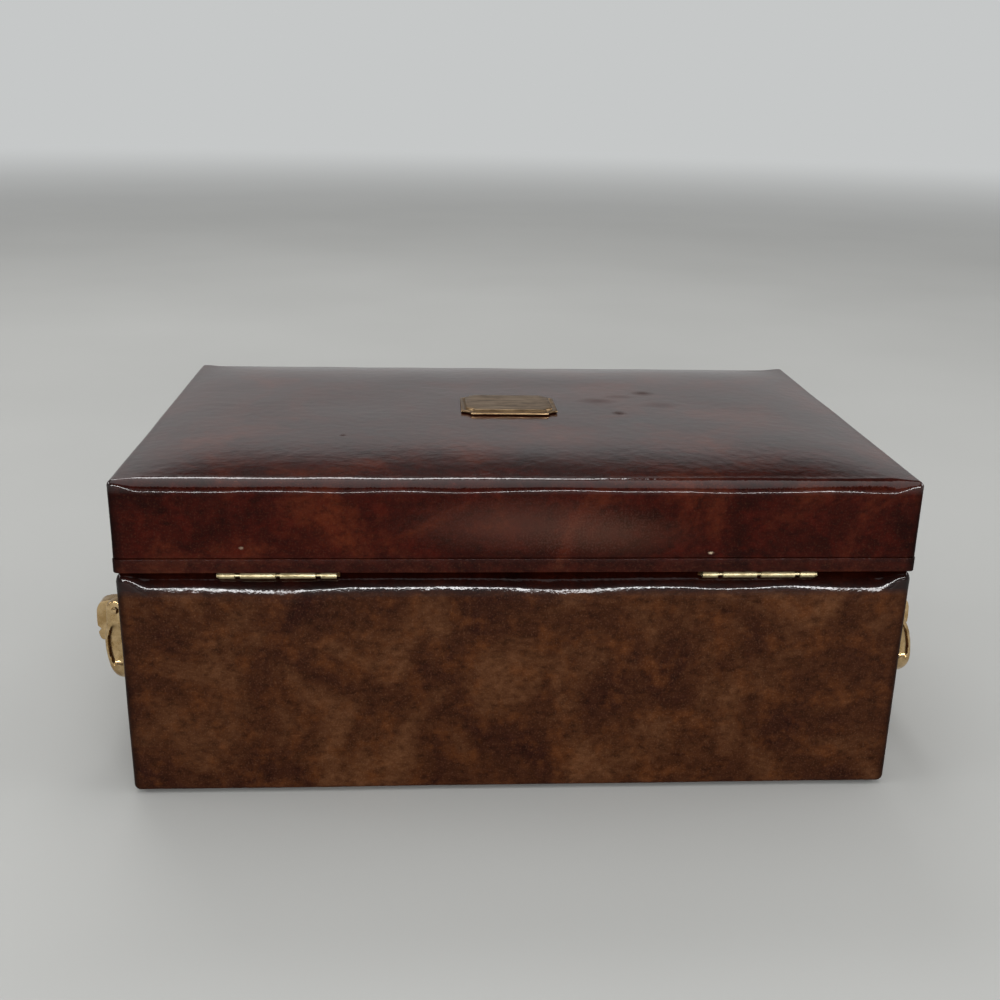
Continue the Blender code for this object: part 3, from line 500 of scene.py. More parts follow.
LID_MARKS = (
    # Painted reflection: pale patches in the middle of the back wall
    Mark((-0.002, 0.0968, 0.113), (0.046, 0.02, 0.011), 0.15, "#7a5a4d"),
    Mark((-0.034, 0.0968, 0.109), (0.03, 0.02, 0.009), 0.13, "#745343"),
    # Dark scuffs on the top
    Mark((-0.0413, -0.0117, 0.133), (0.0090, 0.0060, 0.01), 0.4, "#33170f"),
    Mark((-0.0646, -0.0274, 0.133), (0.0055, 0.0044, 0.01), 0.65, "#2e1a14"),
    Mark((-0.0520, -0.0200, 0.133), (0.0080, 0.0040, 0.01), 0.3, "#33170f"),
    Mark((-0.0481, 0.0095, 0.133), (0.0034, 0.0034, 0.01), 0.8, "#2e1a14"),
    Mark((-0.0689, -0.0051, 0.133), (0.0090, 0.0060, 0.01), 0.25, "#33170f"),
    Mark((0.0693, 0.0465, 0.133), (0.0014, 0.0014, 0.01), 0.9, "#2e1a14"),
    # Chips through to the pale hide
    Mark((0.1038, 0.0968, 0.1041), (0.0009, 0.01, 0.0007), 0.3, "#b9a48c"),
    Mark((-0.0715, 0.0968, 0.1019), (0.0011, 0.01, 0.0006), 0.8, "#b9a48c"),
)


def make_finishes() -> dict[Slot, bpy.types.Material]:
    """Makes every finish of the box, by the record's slot."""
    return {
        # Browner and more mottled on the base
        Slot.LEATHER: GlazedLeather(
            "glazed_leather", "#28110b", "#3b2011", "#573823", "#553018", rolls_from=0.0872, rolls_over=0.0032,
        ).build(),
        # A duller strip, a little paler than the lid
        Slot.BAND: GlazedLeather(
            "band_leather", "#1e0603", "#2f0e07", "#482112", "#3b130a", glaze_roughness=0.14, wall_glaze=0.07,
            fleck_share=0.08,
            rim_shade_depth=0.0,
        ).build(),
        Slot.WOOD: SawnWood("carcass_wood", "#b08a5c", "#8a633c").build(),
        # Dark wool underneath
        Slot.FELT: NappedCloth("wool_felt", "#2b1d17", "#3a2921", 0.4).build(),
        # Warm tan nap inside the box
        Slot.SUEDE: NappedCloth("suede_lining", "#6f4f38", "#8d6a4e", 0.5).build(),
        Slot.WADDING: NappedCloth("cotton_wadding", "#d9d2c2", "#efeade", 0.3, stroke=0.006).build(),
        # Warm bright cast brass with browner tarnished clouds
        Slot.BRASS: Brass("cast_brass", "#d2b68a", "#a3865a", 0.17).build(),
        # Pale grey-gold rolled brass
        Slot.HINGE_BRASS: Brass("rolled_brass", "#c6b893", "#938665", 0.4, 0.004).build(),
        # Pinkish bronzed sheet with cleaning streaks along it
        Slot.PLATE_BRASS: Brass("bronzed_plate", "#8d7557", "#594733", 0.3, 0.005, (0.45, 1.2, 1.0)).build(),
    }


def lid_leather_finish() -> bpy.types.Material:
    """Makes the lid's leather: redder and darker than the base's, hazier on top, with its scuffs and the painted
    reflection on its back wall.
    """
    return GlazedLeather(
        "glazed_lid_leather", "#1c0402", "#300b05", "#4f2010", "#3d0e06", rolls_from=0.1298, rim_shade_depth=0.0,
        roll_glaze=1.0, fleck_share=0.07, marks=LID_MARKS,
    ).build()


# Shapes


def dress(
    piece: bpy.types.Object, body: Body, finish: bpy.types.Material, nodes: Sequence[str] = (),
) -> bpy.types.Object:
    """Gives a piece its finish, its body and the solids that it stands for.

    Args:
        piece: The piece.
        body: What it moves with.
        finish: Its material.
        nodes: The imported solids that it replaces.

    Returns:
        The piece.
    """
    piece.data.materials.clear()
    piece.data.materials.append(finish)
    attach(piece, body.value)
    if nodes:
        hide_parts(*nodes)
    LOG.info("%s: %d faces on %s", piece.name, len(piece.data.polygons), body.value)
    return piece


def object_from(name: str, shape: bmesh.types.BMesh, smooth: float = 40.0) -> bpy.types.Object:
    """Makes an object of a bmesh.

    Args:
        name: The object's name.
        shape: Its mesh, which is freed.
        smooth: Edges that bend by fewer degrees than this are smooth.

    Returns:
        The object.
    """
    bmesh.ops.recalc_face_normals(shape, faces=shape.faces)
    mesh = bpy.data.meshes.new(name)
    shape.to_mesh(mesh)
    shape.free()
    mesh.shade_smooth()
    mesh.set_sharp_from_angle(angle=math.radians(smooth))
    made = bpy.data.objects.new(name, mesh)
    bpy.context.scene.collection.objects.link(made)
    return made


def rings_to_shape(rings: Sequence[np.ndarray], closed: bool) -> bmesh.types.BMesh:
    """Joins rings of points with faces.

    Args:
        rings: Arrays of points, all of one length.
        closed: Whether the last ring joins the first. Otherwise both are filled.

    Returns:
        The mesh, not yet an object.
    """
    shape = bmesh.new()
    rows = [[shape.verts.new(point) for point in ring] for ring in rings]
    pairs = list(zip(rows, rows[1:]))
    if closed:
        pairs.append((rows[-1], rows[0]))
    for low, high in pairs:
        for index in range(len(low)):
            after = (index + 1) % len(low)
            shape.faces.new((low[index], low[after], high[after], high[index]))
    if not closed:
        shape.faces.new(rows[0])
        shape.faces.new(rows[-1])
    return shape


def applied(piece: bpy.types.Object) -> bpy.types.Object:
    """Applies a piece's modifiers for good."""
    graph = bpy.context.evaluated_depsgraph_get()
    mesh = bpy.data.meshes.new_from_object(piece.evaluated_get(graph))
    piece.modifiers.clear()
    piece.data = mesh
    return piece


def bend(
    centre: tuple[np.ndarray, np.ndarray], radii: tuple[np.ndarray, np.ndarray], start: float, end: float,
    steps: int,
) -> tuple[np.ndarray, np.ndarray]:
    """Insets and heights along an elliptical arc, for all stations at once.

    Args:
        centre: The arc's centre at every station.
        radii: Its radii at every station.
        start: The angle where it starts, in degrees.
        end: The angle where it ends.
        steps: The number of steps between them.

    Returns:
        Two arrays, of stations by points.
    """
    angle = np.radians(np.linspace(start, end, steps + 1))
    insets = centre[0][:, None] + radii[0][:, None] * np.cos(angle)
    heights = centre[1][:, None] + radii[1][:, None] * np.sin(angle)
    return insets, heights


def straight(
    start: tuple[np.ndarray, np.ndarray], end: tuple[np.ndarray, np.ndarray], steps: int,
) -> tuple[np.ndarray, np.ndarray]:
    """Insets and heights along a straight line between two points, for all stations, without its end."""
    share = np.linspace(0, 1, steps + 1)[:-1]
    insets = start[0][:, None] + (end[0] - start[0])[:, None] * share
    heights = start[1][:, None] + (end[1] - start[1])[:, None] * share
    return insets, heights


@dataclass(frozen=True)
class Outline:
    """Stations round the box's level outline, closer together towards its corners."""

    long_steps: int = 150
    short_steps: int = 96
    corner_steps: int = 8

    def stations(self) -> tuple[np.ndarray, np.ndarray]:
        """The stations, anticlockwise from above.

        Returns:
            Where each lies, from -1 to 1 across the box, and the way that it faces.
        """
        places, facings = [], []
        for turn in range(4):
            end_x, end_y = ((1, 1), (-1, 1), (-1, -1), (1, -1))[turn]
            for step in range(self.corner_steps + 1):
                angle = math.radians(90 * turn + 90 * step / self.corner_steps)
                places.append((end_x, end_y))
                facings.append((math.cos(angle), math.sin(angle)))
            steps = self.long_steps if turn % 2 == 0 else self.short_steps
            facing = ((0, 1), (-1, 0), (0, -1), (1, 0))[turn]
            for step in range(1, steps):
                share = 0.5 - 0.5 * math.cos(math.pi * step / steps)
                along = 0.35 * share + 0.65 * step / steps
                if turn % 2 == 0:
                    places.append((end_x * (1 - 2 * along), end_y))
                else:
                    places.append((end_x, end_y * (1 - 2 * along)))
                facings.append(facing)
        return np.array(places, float), np.array(facings, float)


def waviness(places: np.ndarray, size: float, seed: float) -> np.ndarray:
    """Smooth noise from -1 to 1 at points of any number.

    Args:
        places: Points, three numbers each along the last axis.
        size: The length over which it changes.
        seed: Picks another pattern.

    Returns:
        One number a point.
    """
    flat = places.reshape(-1, 3)
    values = [noise.noise(Vector(point) / size + Vector((seed, seed, seed))) for point in flat]
    return np.array(values).reshape(places.shape[:-1]) * 1.6


@dataclass(frozen=True)
class Skin:
    """A leather skin over the box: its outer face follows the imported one, with the rolls' own unevenness."""

    sizes: BoxSizes
    outline: Outline
    swell: float = 0.14
    swell_length: float = 0.034
    undulation: float = 0.00012
    undulation_length: float = 0.032

    def side_share(self, places: np.ndarray, facings: np.ndarray, room: float) -> np.ndarray:
        """How far each station has left the sides' section for that of front and back, from 0 to 1."""
        away = (1 - np.abs(places[:, 0])) * room
        share = np.sin(np.pi / 2 * np.clip(away / self.sizes.side_fade, 0, 1)) ** 2
        return np.where(np.abs(facings[:, 1]) > 0.999, share, 0.0)

    def unevenness(self, places: np.ndarray, seed: float) -> np.ndarray:
        """The rolls' size at each station, as a share of the even one."""
        spots = np.column_stack([
            places[:, 0] * self.sizes.width / 2, places[:, 1] * self.sizes.depth / 2, np.zeros(len(places)),
        ])
        return 1 + self.swell * waviness(spots, self.swell_length, seed)

    def surface(
        self, insets: np.ndarray, heights: np.ndarray, even_insets: np.ndarray, radii: np.ndarray,
    ) -> np.ndarray:
        """Points of a skin.

        Args:
            insets: How far in each point lies, stations by points.
            heights: How high it lies.
            even_insets: How far in that point of the sides' even section lies.
            radii: The outline's corner radius at each point of the section.

        Returns:
            Stations by points by three.
        """
        places, facings = self.outline.stations()
        half = np.array([self.sizes.width / 2, self.sizes.depth / 2])
        core = half[None, None, :] - even_insets[None, :, None] - radii[None, :, None]
        core = np.maximum(core, 0)
        level = places[:, None, :] * core + facings[:, None, :] * radii[None, :, None]
        level = level - facings[:, None, :] * (insets - even_insets[None, :])[:, :, None]
        return np.concatenate([level, heights[:, :, None]], axis=2)

    def normals(self, points: np.ndarray) -> np.ndarray:
        """The outward direction at each point of a skin."""
        along = np.roll(points, -1, axis=0) - np.roll(points, 1, axis=0)
        across = np.gradient(points, axis=1)
        facing = np.cross(along, across)
        length = np.linalg.norm(facing, axis=2, keepdims=True)
        return facing / np.maximum(length, 1e-12)

    def ridged(
        self, points: np.ndarray, first: int, last: int, ridges: Sequence[tuple[float, float, float]],
    ) -> np.ndarray:
        """Height of the ridges that run along a roll, where the leather was stretched over it.

        Args:
            points: The skin's points.
            first: The section's point where the roll starts.
            last: The section's point where it ends.
            ridges: Where each lies on the roll, from 0 to 1, its height and its width.

        Returns:
            A height for every point.
        """
        steps = np.linalg.norm(np.diff(points, axis=1), axis=2)
        run = np.concatenate([np.zeros((len(points), 1)), np.cumsum(steps, axis=1)], axis=1)
        height = np.zeros(run.shape)
        for number, (share, rise, width) in enumerate(ridges):
            drift = waviness(points[:, first], 0.05, 11.3 + 5.7 * number)
            drift += 0.4 * waviness(points[:, first], 0.013, 1.9 + 3.3 * number)
            strength = 0.7 + 0.3 * waviness(points[:, first], 0.028, 3.1 + 2.9 * number)
            middle = run[:, first] + (run[:, last] - run[:, first]) * (share + 0.04 * drift)
            spread = ((run - middle[:, None]) / width) ** 2
            height += rise * np.maximum(strength, 0)[:, None] * np.exp(-spread / 2)
        return height


@dataclass(frozen=True)
class BaseSkin(Skin):
    """The base's leather, from under the bottom edge, up the walls, over the rolled rim and down inside.

    The leather pulls away from the wall a little below the solid's roll: early gives by how much.
    """

    wall_steps: int = 26
    rim_steps: int = 34
    inner_steps: int = 10
    early: float = 1.24
    ridges: tuple[tuple[float, float, float], ...] = (
        (0.05, 0.00009, 0.0006), (0.16, 0.00005, 0.0003), (0.36, 0.00006, 0.0004),
    )

    def section(self, round_inset: np.ndarray, round_drop: np.ndarray) -> tuple[np.ndarray, np.ndarray]:
        """Insets and heights of the outer face for the rim's round at each station."""
        s = self.sizes
        one = np.ones(len(round_inset))
        under = straight((s.board_inner * one, s.hem_bottom * one), (s.hem_round * one, s.hem_bottom * one), 3)
        hem_centre = (s.hem_round * one, (s.hem_bottom + s.hem_round) * one)
        hem = bend(hem_centre, (s.hem_round * one, s.hem_round * one), 270, 180, 6)
        wall_start = (0 * one, (s.hem_bottom + s.hem_round) * one)
        wall = straight(wall_start, (0 * one, s.base_top - round_drop), self.wall_steps)
        rim_centre = (round_inset, s.base_top - round_drop)
        rim = bend(rim_centre, (round_inset, round_drop), 180, 90, self.rim_steps)
        inner_centre = (s.rim_inset * one, (s.base_top - s.rim_inner_drop) * one)
        inner_radii = ((s.rim_thickness - s.rim_inset) * one, s.rim_inner_drop * one)
        inner = bend(inner_centre, inner_radii, 90, 0, self.inner_steps)
        end = (s.rim_thickness * one)[:, None], (s.turn_in_end * one)[:, None]
        parts = (under, hem, (wall[0][:, 1:], wall[1][:, 1:]), rim, (inner[0][:, 1:], inner[1][:, 1:]), end)
        return np.concatenate([p[0] for p in parts], axis=1), np.concatenate([p[1] for p in parts], axis=1)

    def build(self, finish: bpy.types.Material) -> None:
        """Makes the skin and cuts the hinges' mortises and the posts' screw holes in it."""
        s = self.sizes
        places, facings = self.outline.stations()
        share = self.side_share(places, facings, s.width / 2 - s.base_corner)
        uneven = self.unevenness(places, 1.7)
        round_inset = s.side_rim_inset + (s.rim_inset * uneven - s.side_rim_inset) * share
        round_drop = s.side_rim_drop + (s.rim_drop * self.early * uneven - s.side_rim_drop) * share
        insets, heights = self.section(round_inset, round_drop)
        even, _ = self.section(np.array([s.side_rim_inset]), np.array([s.side_rim_drop]))
        radii = np.maximum(s.base_corner - even[0], s.sharp)
        outer = self.surface(insets, heights, even[0], radii)
        normals = self.normals(outer)
        first = 3 + 7 + self.wall_steps - 1
        last = first + self.rim_steps
        ease = np.ones(outer.shape[1])
        ease[:10] = np.linspace(0, 1, 10)
        ease[last:] = np.linspace(1, 0, len(ease) - last)
        lift = self.undulation * (waviness(outer, self.undulation_length, 4.4) - 1) * ease[None, :]
        lift += self.ridged(outer, first, last, self.ridges) * ease[None, :]
        skin = outer + normals * lift[:, :, None]
        inner = outer - normals * (s.leather - 0.0005)
        picked = [*range(0, outer.shape[1] - 1, 4), outer.shape[1] - 1]
        rings = [skin[:, k] for k in range(skin.shape[1])] + [inner[:, k] for k in reversed(picked)]
        piece = object_from("base_leather_skin", rings_to_shape(rings, True))
        self.cut(piece)
        dress(piece, Body.BASE, finish, ["base_leather"])

    def cut(self, piece: bpy.types.Object) -> None:
        """Cuts the mortises and screw holes."""
        s = self.sizes
        tools = bmesh.new()
        for side in (-1, 1):
            low = Vector((
                side * s.hinge_x - s.hinge_length / 2 - 0.0012, s.hinge_y - s.leaf_width - 0.0004,
                s.hinge_z - s.barrel - s.gap,
            ))
            high = Vector((side * s.hinge_x + s.hinge_length / 2 + 0.0012, s.depth / 2 + 0.004, s.base_top + 0.004))
            size = Matrix.Diagonal((*(high - low), 1))
            bmesh.ops.create_cube(tools, size=1.0, matrix=Matrix.Translation((low + high) / 2) @ size)
            for end in (-1, 1):
                middle = (side * s.width / 2, end * s.post_y, s.pivot_z - s.stem_drop)
                lying = Matrix.Translation(middle) @ Matrix.Rotation(math.radians(90), 4, "Y")
                bmesh.ops.create_cone(
                    tools, cap_ends=True, segments=20, radius1=0.0018, radius2=0.0018, depth=0.03, matrix=lying,
                )
        cutter = object_from("cutter", tools)
        cut = piece.modifiers.new("Mortises", "BOOLEAN")
        cut.operation = "DIFFERENCE"
        cut.object = cutter
        applied(piece)
        bpy.data.objects.remove(cutter)
        piece.data.shade_smooth()
        piece.data.set_sharp_from_angle(angle=math.radians(40))


@dataclass(frozen=True)
class LidSkin(Skin):
    """The lid's leather: low walls, a soft rolled edge and a long shallow crown over the wadding."""

    wall_steps: int = 10
    edge_steps: int = 24
    crown_steps: int = 26
    flat_steps: int = 14
    crown_power: float = 2.4
    ridges: tuple[tuple[float, float, float], ...] = (
        (0.16, 0.00006, 0.0004), (0.3, 0.00003, 0.00025), (0.62, 0.00002, 0.0004),
    )

    def section(self, edge_round: np.ndarray) -> tuple[np.ndarray, np.ndarray]:
        """Insets and heights of the outer face for the edge's round at each station."""
        s = self.sizes
        one = np.ones(len(edge_round))
        wall = straight((0 * one, s.skin_bottom * one), (0 * one, s.lid_edge_top - edge_round), self.wall_steps)
        edge = bend((edge_round, s.lid_edge_top - edge_round), (edge_round, edge_round), 180, 90, self.edge_steps)
        share = np.linspace(0, 1, self.crown_steps + 1)[1:]
        reach = (s.lid_edge_round + s.lid_crown_run) * one
        run = edge_round[:, None] + (reach - edge_round)[:, None] * share
        rise = s.lid_edge_top + s.lid_crown * (1 - (1 - share) ** self.crown_power) * one[:, None]
        flat_end = s.depth / 2 - s.sharp
        flat = straight((reach, s.lid_top_height * one), (flat_end * one, s.lid_top_height * one), self.flat_steps)
        ends = (flat_end * one)[:, None], (s.lid_top_height * one)[:, None]
        parts = (wall, edge, (run, rise), (flat[0][:, 1:], flat[1][:, 1:]), ends)
        return np.concatenate([p[0] for p in parts], axis=1), np.concatenate([p[1] for p in parts], axis=1)

    def swelling(self, away: np.ndarray) -> np.ndarray:
        """How far the crown has risen at a distance from the lid's edge, from 0 to 1."""
        share = np.clip(away / self.sizes.lid_crown_run, 0, 1)
        return 1 - (1 - share) ** self.crown_power

    def build(self, finish: bpy.types.Material, wadding: bpy.types.Material) -> None:
        """Makes the skin and the wadding under it."""
        s = self.sizes
        places, facings = self.outline.stations()
        share = self.side_share(places, facings, s.width / 2 - s.lid_corner)
        uneven = self.unevenness(places, 7.9)
        edge_round = (s.lid_side_round + (s.lid_edge_round - s.lid_side_round) * share) * uneven
        insets, heights = self.section(edge_round)
        even, _ = self.section(np.array([s.lid_side_round]))
        crowned = slice(self.wall_steps + self.edge_steps + 1, None)
        room = s.depth / 2 - even[0]
        radii = np.maximum(s.lid_corner - even[0], s.sharp)
        radii = np.maximum(radii, (even[0] - s.lid_edge_round) * s.crown_corner_share)
        radii = np.minimum(radii, 0.9 * room)
        outer = self.surface(insets, heights, even[0], radii)
        across = s.width / 2 - s.lid_side_round - np.abs(outer[:, crowned, 0])
        deep = s.depth / 2 - s.lid_edge_round - np.abs(outer[:, crowned, 1])
        outer[:, crowned, 2] = s.lid_edge_top + s.lid_crown * self.swelling(across) * self.swelling(deep)
        normals = self.normals(outer)
        first = self.wall_steps
        last = first + self.edge_steps
        ease = np.ones(outer.shape[1])
        ease[:4] = np.linspace(0, 1, 4)
        under_plate = np.clip((np.abs(outer[:, :, 0]) - 0.024) / 0.02, 0, 1)
        under_plate = np.maximum(under_plate, np.clip((np.abs(outer[:, :, 1]) - 0.018) / 0.02, 0, 1))
        lift = self.undulation * (waviness(outer, self.undulation_length, 9.2) - 1) * ease[None, :]
        lift *= under_plate
        lift += self.ridged(outer, first, last, self.ridges) * ease[None, :]
        skin = outer + normals * lift[:, :, None]
        inner = outer - normals * s.leather
        picked = [*range(0, outer.shape[1] - 1, 4), outer.shape[1] - 1]
        rings = [skin[:, k] for k in range(skin.shape[1])] + [inner[:, k] for k in reversed(picked)]
        piece = self.closed("lid_leather_skin", rings, len(picked))
        dress(piece, Body.LID, finish, ["lid_leather"])

        pad = outer - normals * (s.leather + s.gap)
        tall = [k for k in picked if k > first + 2]
        pad_rings = [pad[:, k] for k in tall]
        bottom = [np.column_stack([ring[:, :2], np.full(len(ring), s.padding_bottom)]) for ring in pad_rings]
        body = self.closed("lid_wadding", pad_rings + list(reversed(bottom)), len(tall))
        dress(body, Body.LID, wadding, ["lid_padding"])

    def closed(self, name: str, rings: Sequence[np.ndarray], last_count: int) -> bpy.types.Object:
        """Joins rings that go up, meet on the lid's long middle line, and come back below.

        Args:
            name: The piece's name.
            rings: Its rings.
            last_count: How many of them come back below.

        Returns:
            The piece.
        """
        top = len(rings) - last_count - 1
        for index in (top, top + 1):
            rings[index] = rings[index] * np.array([1, 0, 1])
        shape = bmesh.new()
        rows = [[shape.verts.new(point) for point in ring] for ring in rings]
        count = len(rows[0])
        for index in range(len(rows)):
            if index == top:
                continue
            low, high = rows[index], rows[(index + 1) % len(rows)]
            for step in range(count):
                after = (step + 1) % count
                shape.faces.new((low[step], low[after], high[after], high[step]))
        for index in (top, top + 1):
            bmesh.ops.remove_doubles(shape, verts=rows[index], dist=0.00002)
        return object_from(name, shape)


@dataclass(frozen=True)
class EdgeBand:
    """The narrow leather band round the lid's lower edge, turned in under the walls."""

    sizes: BoxSizes
    outline: Outline
    proud: float = 0.0003
    bottom: float = 0.0942
    top: float = 0.0998
    inner: float = 0.0126
    turn_in: float = 0.006
    thickness: float = 0.0016
    edge: float = 0.0004
    waver: float = 0.00012

    def build(self, finish: bpy.types.Material) -> None:
        """Makes the band."""
        top_edge = self.top - self.edge
        section = [
            (self.inner, self.bottom + self.turn_in), (self.inner, self.bottom + 0.002),
            (self.inner, self.bottom), (self.inner - 0.004, self.bottom), (0.004, self.bottom),
            (self.edge - self.proud, self.bottom), (0.3 * self.edge - self.proud, self.bottom + 0.1 * self.edge),
            (0.1 * self.edge - self.proud, self.bottom + 0.3 * self.edge), (-self.proud, self.bottom + self.edge),
            (-self.proud, self.bottom + 0.002), (-self.proud, self.bottom + 0.0035),
            (-self.proud, top_edge), (0.25 * self.edge - self.proud, top_edge + 0.6 * self.edge),
            (0.8 * self.edge - self.proud, self.top - 0.05 * self.edge), (self.thickness - self.proud, self.top),
            (self.thickness - self.proud, self.bottom + self.thickness),
            (self.inner - self.thickness, self.bottom + self.thickness),
            (self.inner - self.thickness, self.bottom + self.turn_in),
        ]
        skin = Skin(self.sizes, self.outline)
        places, _ = self.outline.stations()
        insets = np.tile([point[0] for point in section], (len(places), 1))
        heights = np.tile([point[1] for point in section], (len(places), 1))
        radii = np.maximum(self.sizes.lid_corner - insets[0], self.sizes.sharp)
        points = skin.surface(insets, heights, insets[0], radii)
        drift = waviness(points[:, 10], 0.024, 2.2) * self.waver
        points[:, 11:14, 2] += np.minimum(drift, 0)[:, None]
        shape = rings_to_shape([points[:, k] for k in range(points.shape[1])], True)
        piece = object_from("lid_band", shape)
        dress(piece, Body.LID, finish, ["lid_edge_band"])


@dataclass(frozen=True)
class Lining:
    """The suede panels round the inside, and the padded panels on the floor and under the lid's top."""

    edge: float = 0.0007
    crown: float = 0.0007

    def panel(self, node: str, body: Body, finish: bpy.types.Material) -> None:
        """Makes one wall panel with softened edges and mitred ends in its solid's place."""
        low, high = (np.array(corner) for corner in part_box(node))
        size = high - low
        across = 0 if size[0] < size[1] else 1
        along = 1 - across
        middle = (low + high) / 2
        inwards = -1 if middle[across] > 0 else 1
        outer = high[across] if inwards < 0 else low[across]
        inner = low[across] if inwards < 0 else high[across]
        cut = size[across]
        shape = bmesh.new()
        rings = []
        for height in (low[2], high[2]):
            ring = []
            for place, shorter in ((outer, 0.0), (inner, cut)):
                ends = (low[along] + shorter, high[along] - shorter)
                for end in ends if place == outer else reversed(ends):
                    point = [0.0, 0.0, height]
                    point[across] = place
                    point[along] = end
                    ring.append(shape.verts.new(point))
            rings.append(ring)
        shape.faces.new(rings[0])
        shape.faces.new(rings[1])
        for index in range(4):
            after = (index + 1) % 4
            shape.faces.new((rings[0][index], rings[0][after], rings[1][after], rings[1][index]))
        bmesh.ops.bevel(
            shape, geom=shape.edges[:], offset=self.edge, segments=3, profile=0.6, affect="EDGES",
        )
        dress(object_from(node + "_suede", shape), body, finish, [node])

    def pad(self, node: str, body: Body, up: int, finish: bpy.types.Material) -> None:
        """Makes one padded panel with a crowned face, up or down, in its solid's place."""
        low, high = (np.array(corner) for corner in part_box(node))
        half = (high - low) / 2
        middle = (high + low) / 2
        columns, rows = 56, 36
        shape = bmesh.new()
        faces = []
        for side in (-1, 1):
            grid = []
            for row in range(rows + 1):
                line = []
                for column in range(columns + 1):
                    u = 2 * column / columns - 1
                    v = 2 * row / rows - 1
                    rim = min(half[0] * (1 - abs(u)), half[1] * (1 - abs(v)))
                    swell = 1 - math.exp(-rim / 0.0022) if side > 0 else 0.0
                    soft = 0.5 + 0.5 * noise.noise(Vector((u * 5, v * 3, 1.3)))
                    height = -half[2] + side * 0 + (2 * half[2] - self.crown * soft * 0.4) * swell
                    if side > 0 and rim == 0:
                        height = -half[2] + 0.5 * half[2]
                    point = Vector((middle[0] + half[0] * u, middle[1] + half[1] * v, middle[2] + up * height))
                    line.append(shape.verts.new(point))
                grid.append(line)
            faces.append(grid)
            for row in range(rows):
                for column in range(columns):
                    quad = (
                        grid[row][column], grid[row][column + 1], grid[row + 1][column + 1], grid[row + 1][column],
                    )
                    shape.faces.new(quad)
        flat, crowned = faces
        border = [(0, column) for column in range(columns)] + [(row, columns) for row in range(rows)]
        border += [(rows, column) for column in range(columns, 0, -1)] + [(row, 0) for row in range(rows, 0, -1)]
        for (row, column), (next_row, next_column) in zip(border, border[1:] + border[:1]):
            shape.faces.new((
                flat[row][column], flat[next_row][next_column], crowned[next_row][next_column],
                crowned[row][column],
            ))
        piece = object_from(node + "_pad", shape, 60)
        dress(piece, body, finish, [node])

    def build(self, finish: bpy.types.Material) -> None:
        """Makes all ten panels."""
        for wall in ("front", "back", "left", "right"):
            self.panel(f"base_{wall}_lining", Body.BASE, finish)
            self.panel(f"lid_{wall}_lining", Body.LID, finish)
        self.pad("base_floor_lining", Body.BASE, 1, finish)
        self.pad("lid_top_lining", Body.LID, -1, finish)


@dataclass(frozen=True)
class FeltSheet:
    """The felt glued under the bottom."""

    corner: float = 0.003
    steps: int = 6

    def build(self, finish: bpy.types.Material) -> None:
        """Makes the felt."""
        low, high = (Vector(corner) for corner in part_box("base_felt"))
        size = high - low
        rings = []
        for height in (low.z, high.z):
            ring = []
            for turn, (end_x, end_y) in enumerate(((1, 1), (-1, 1), (-1, -1), (1, -1))):
                for step in range(self.steps + 1):
                    angle = math.radians(90 * turn + 90 * step / self.steps)
                    x = end_x * (size.x / 2 - self.corner) + self.corner * math.cos(angle)
                    y = end_y * (size.y / 2 - self.corner) + self.corner * math.sin(angle)
                    ring.append((x, y, height))
            rings.append(np.array(ring))
        piece = object_from("felt_underside", rings_to_shape(rings, False))
        dress(piece, Body.BASE, finish, ["base_felt"])


@dataclass(frozen=True)
class LidPlate:
    """The blank plate: a thin flange, a fine groove and a raised face, with a round bite at each corner."""

    width: float = 0.0418
    depth: float = 0.031
    notch: float = 0.0042
    bottom: float = 0.1335
    top: float = 0.1354
    steps: int = 10
    profile: tuple[tuple[float, float], ...] = (
        (0.0002, 0.0), (0.0, 0.12), (0.0, 0.42), (0.00018, 0.52), (0.0004, 0.55), (0.0014, 0.55),
        (0.0016, 0.44), (0.0019, 0.44), (0.0021, 0.60), (0.0022, 0.86), (0.0024, 0.95), (0.0028, 1.0),
        (0.0050, 0.985), (0.0080, 0.975),
    )

    def ring(self, inset: float, height: float) -> np.ndarray:
        """The bitten outline moved in by inset, at a height."""
        points = []
        radius = self.notch + inset
        first = math.asin(min(inset / radius, 1))
        for turn, (end_x, end_y) in enumerate(((1, 1), (-1, 1), (-1, -1), (1, -1))):
            for step in range(self.steps + 1):
                share = step / self.steps
                angle = first + (math.pi / 2 - 2 * first) * share
                x, y = radius * math.cos(angle), radius * math.sin(angle)
                if turn % 2 == 0:
                    x, y = y, x
                points.append((end_x * (self.width / 2 - x), end_y * (self.depth / 2 - y), height))
        return np.array(points)

    def build(self, finish: bpy.types.Material) -> None:
        """Makes the plate."""
        rise = self.top - self.bottom
        rings = [self.ring(inset, self.bottom + share * rise) for inset, share in self.profile]
        piece = object_from("blank_plate", rings_to_shape(rings, False), 50)
        dress(piece, Body.LID, finish, ["lid_plate"])


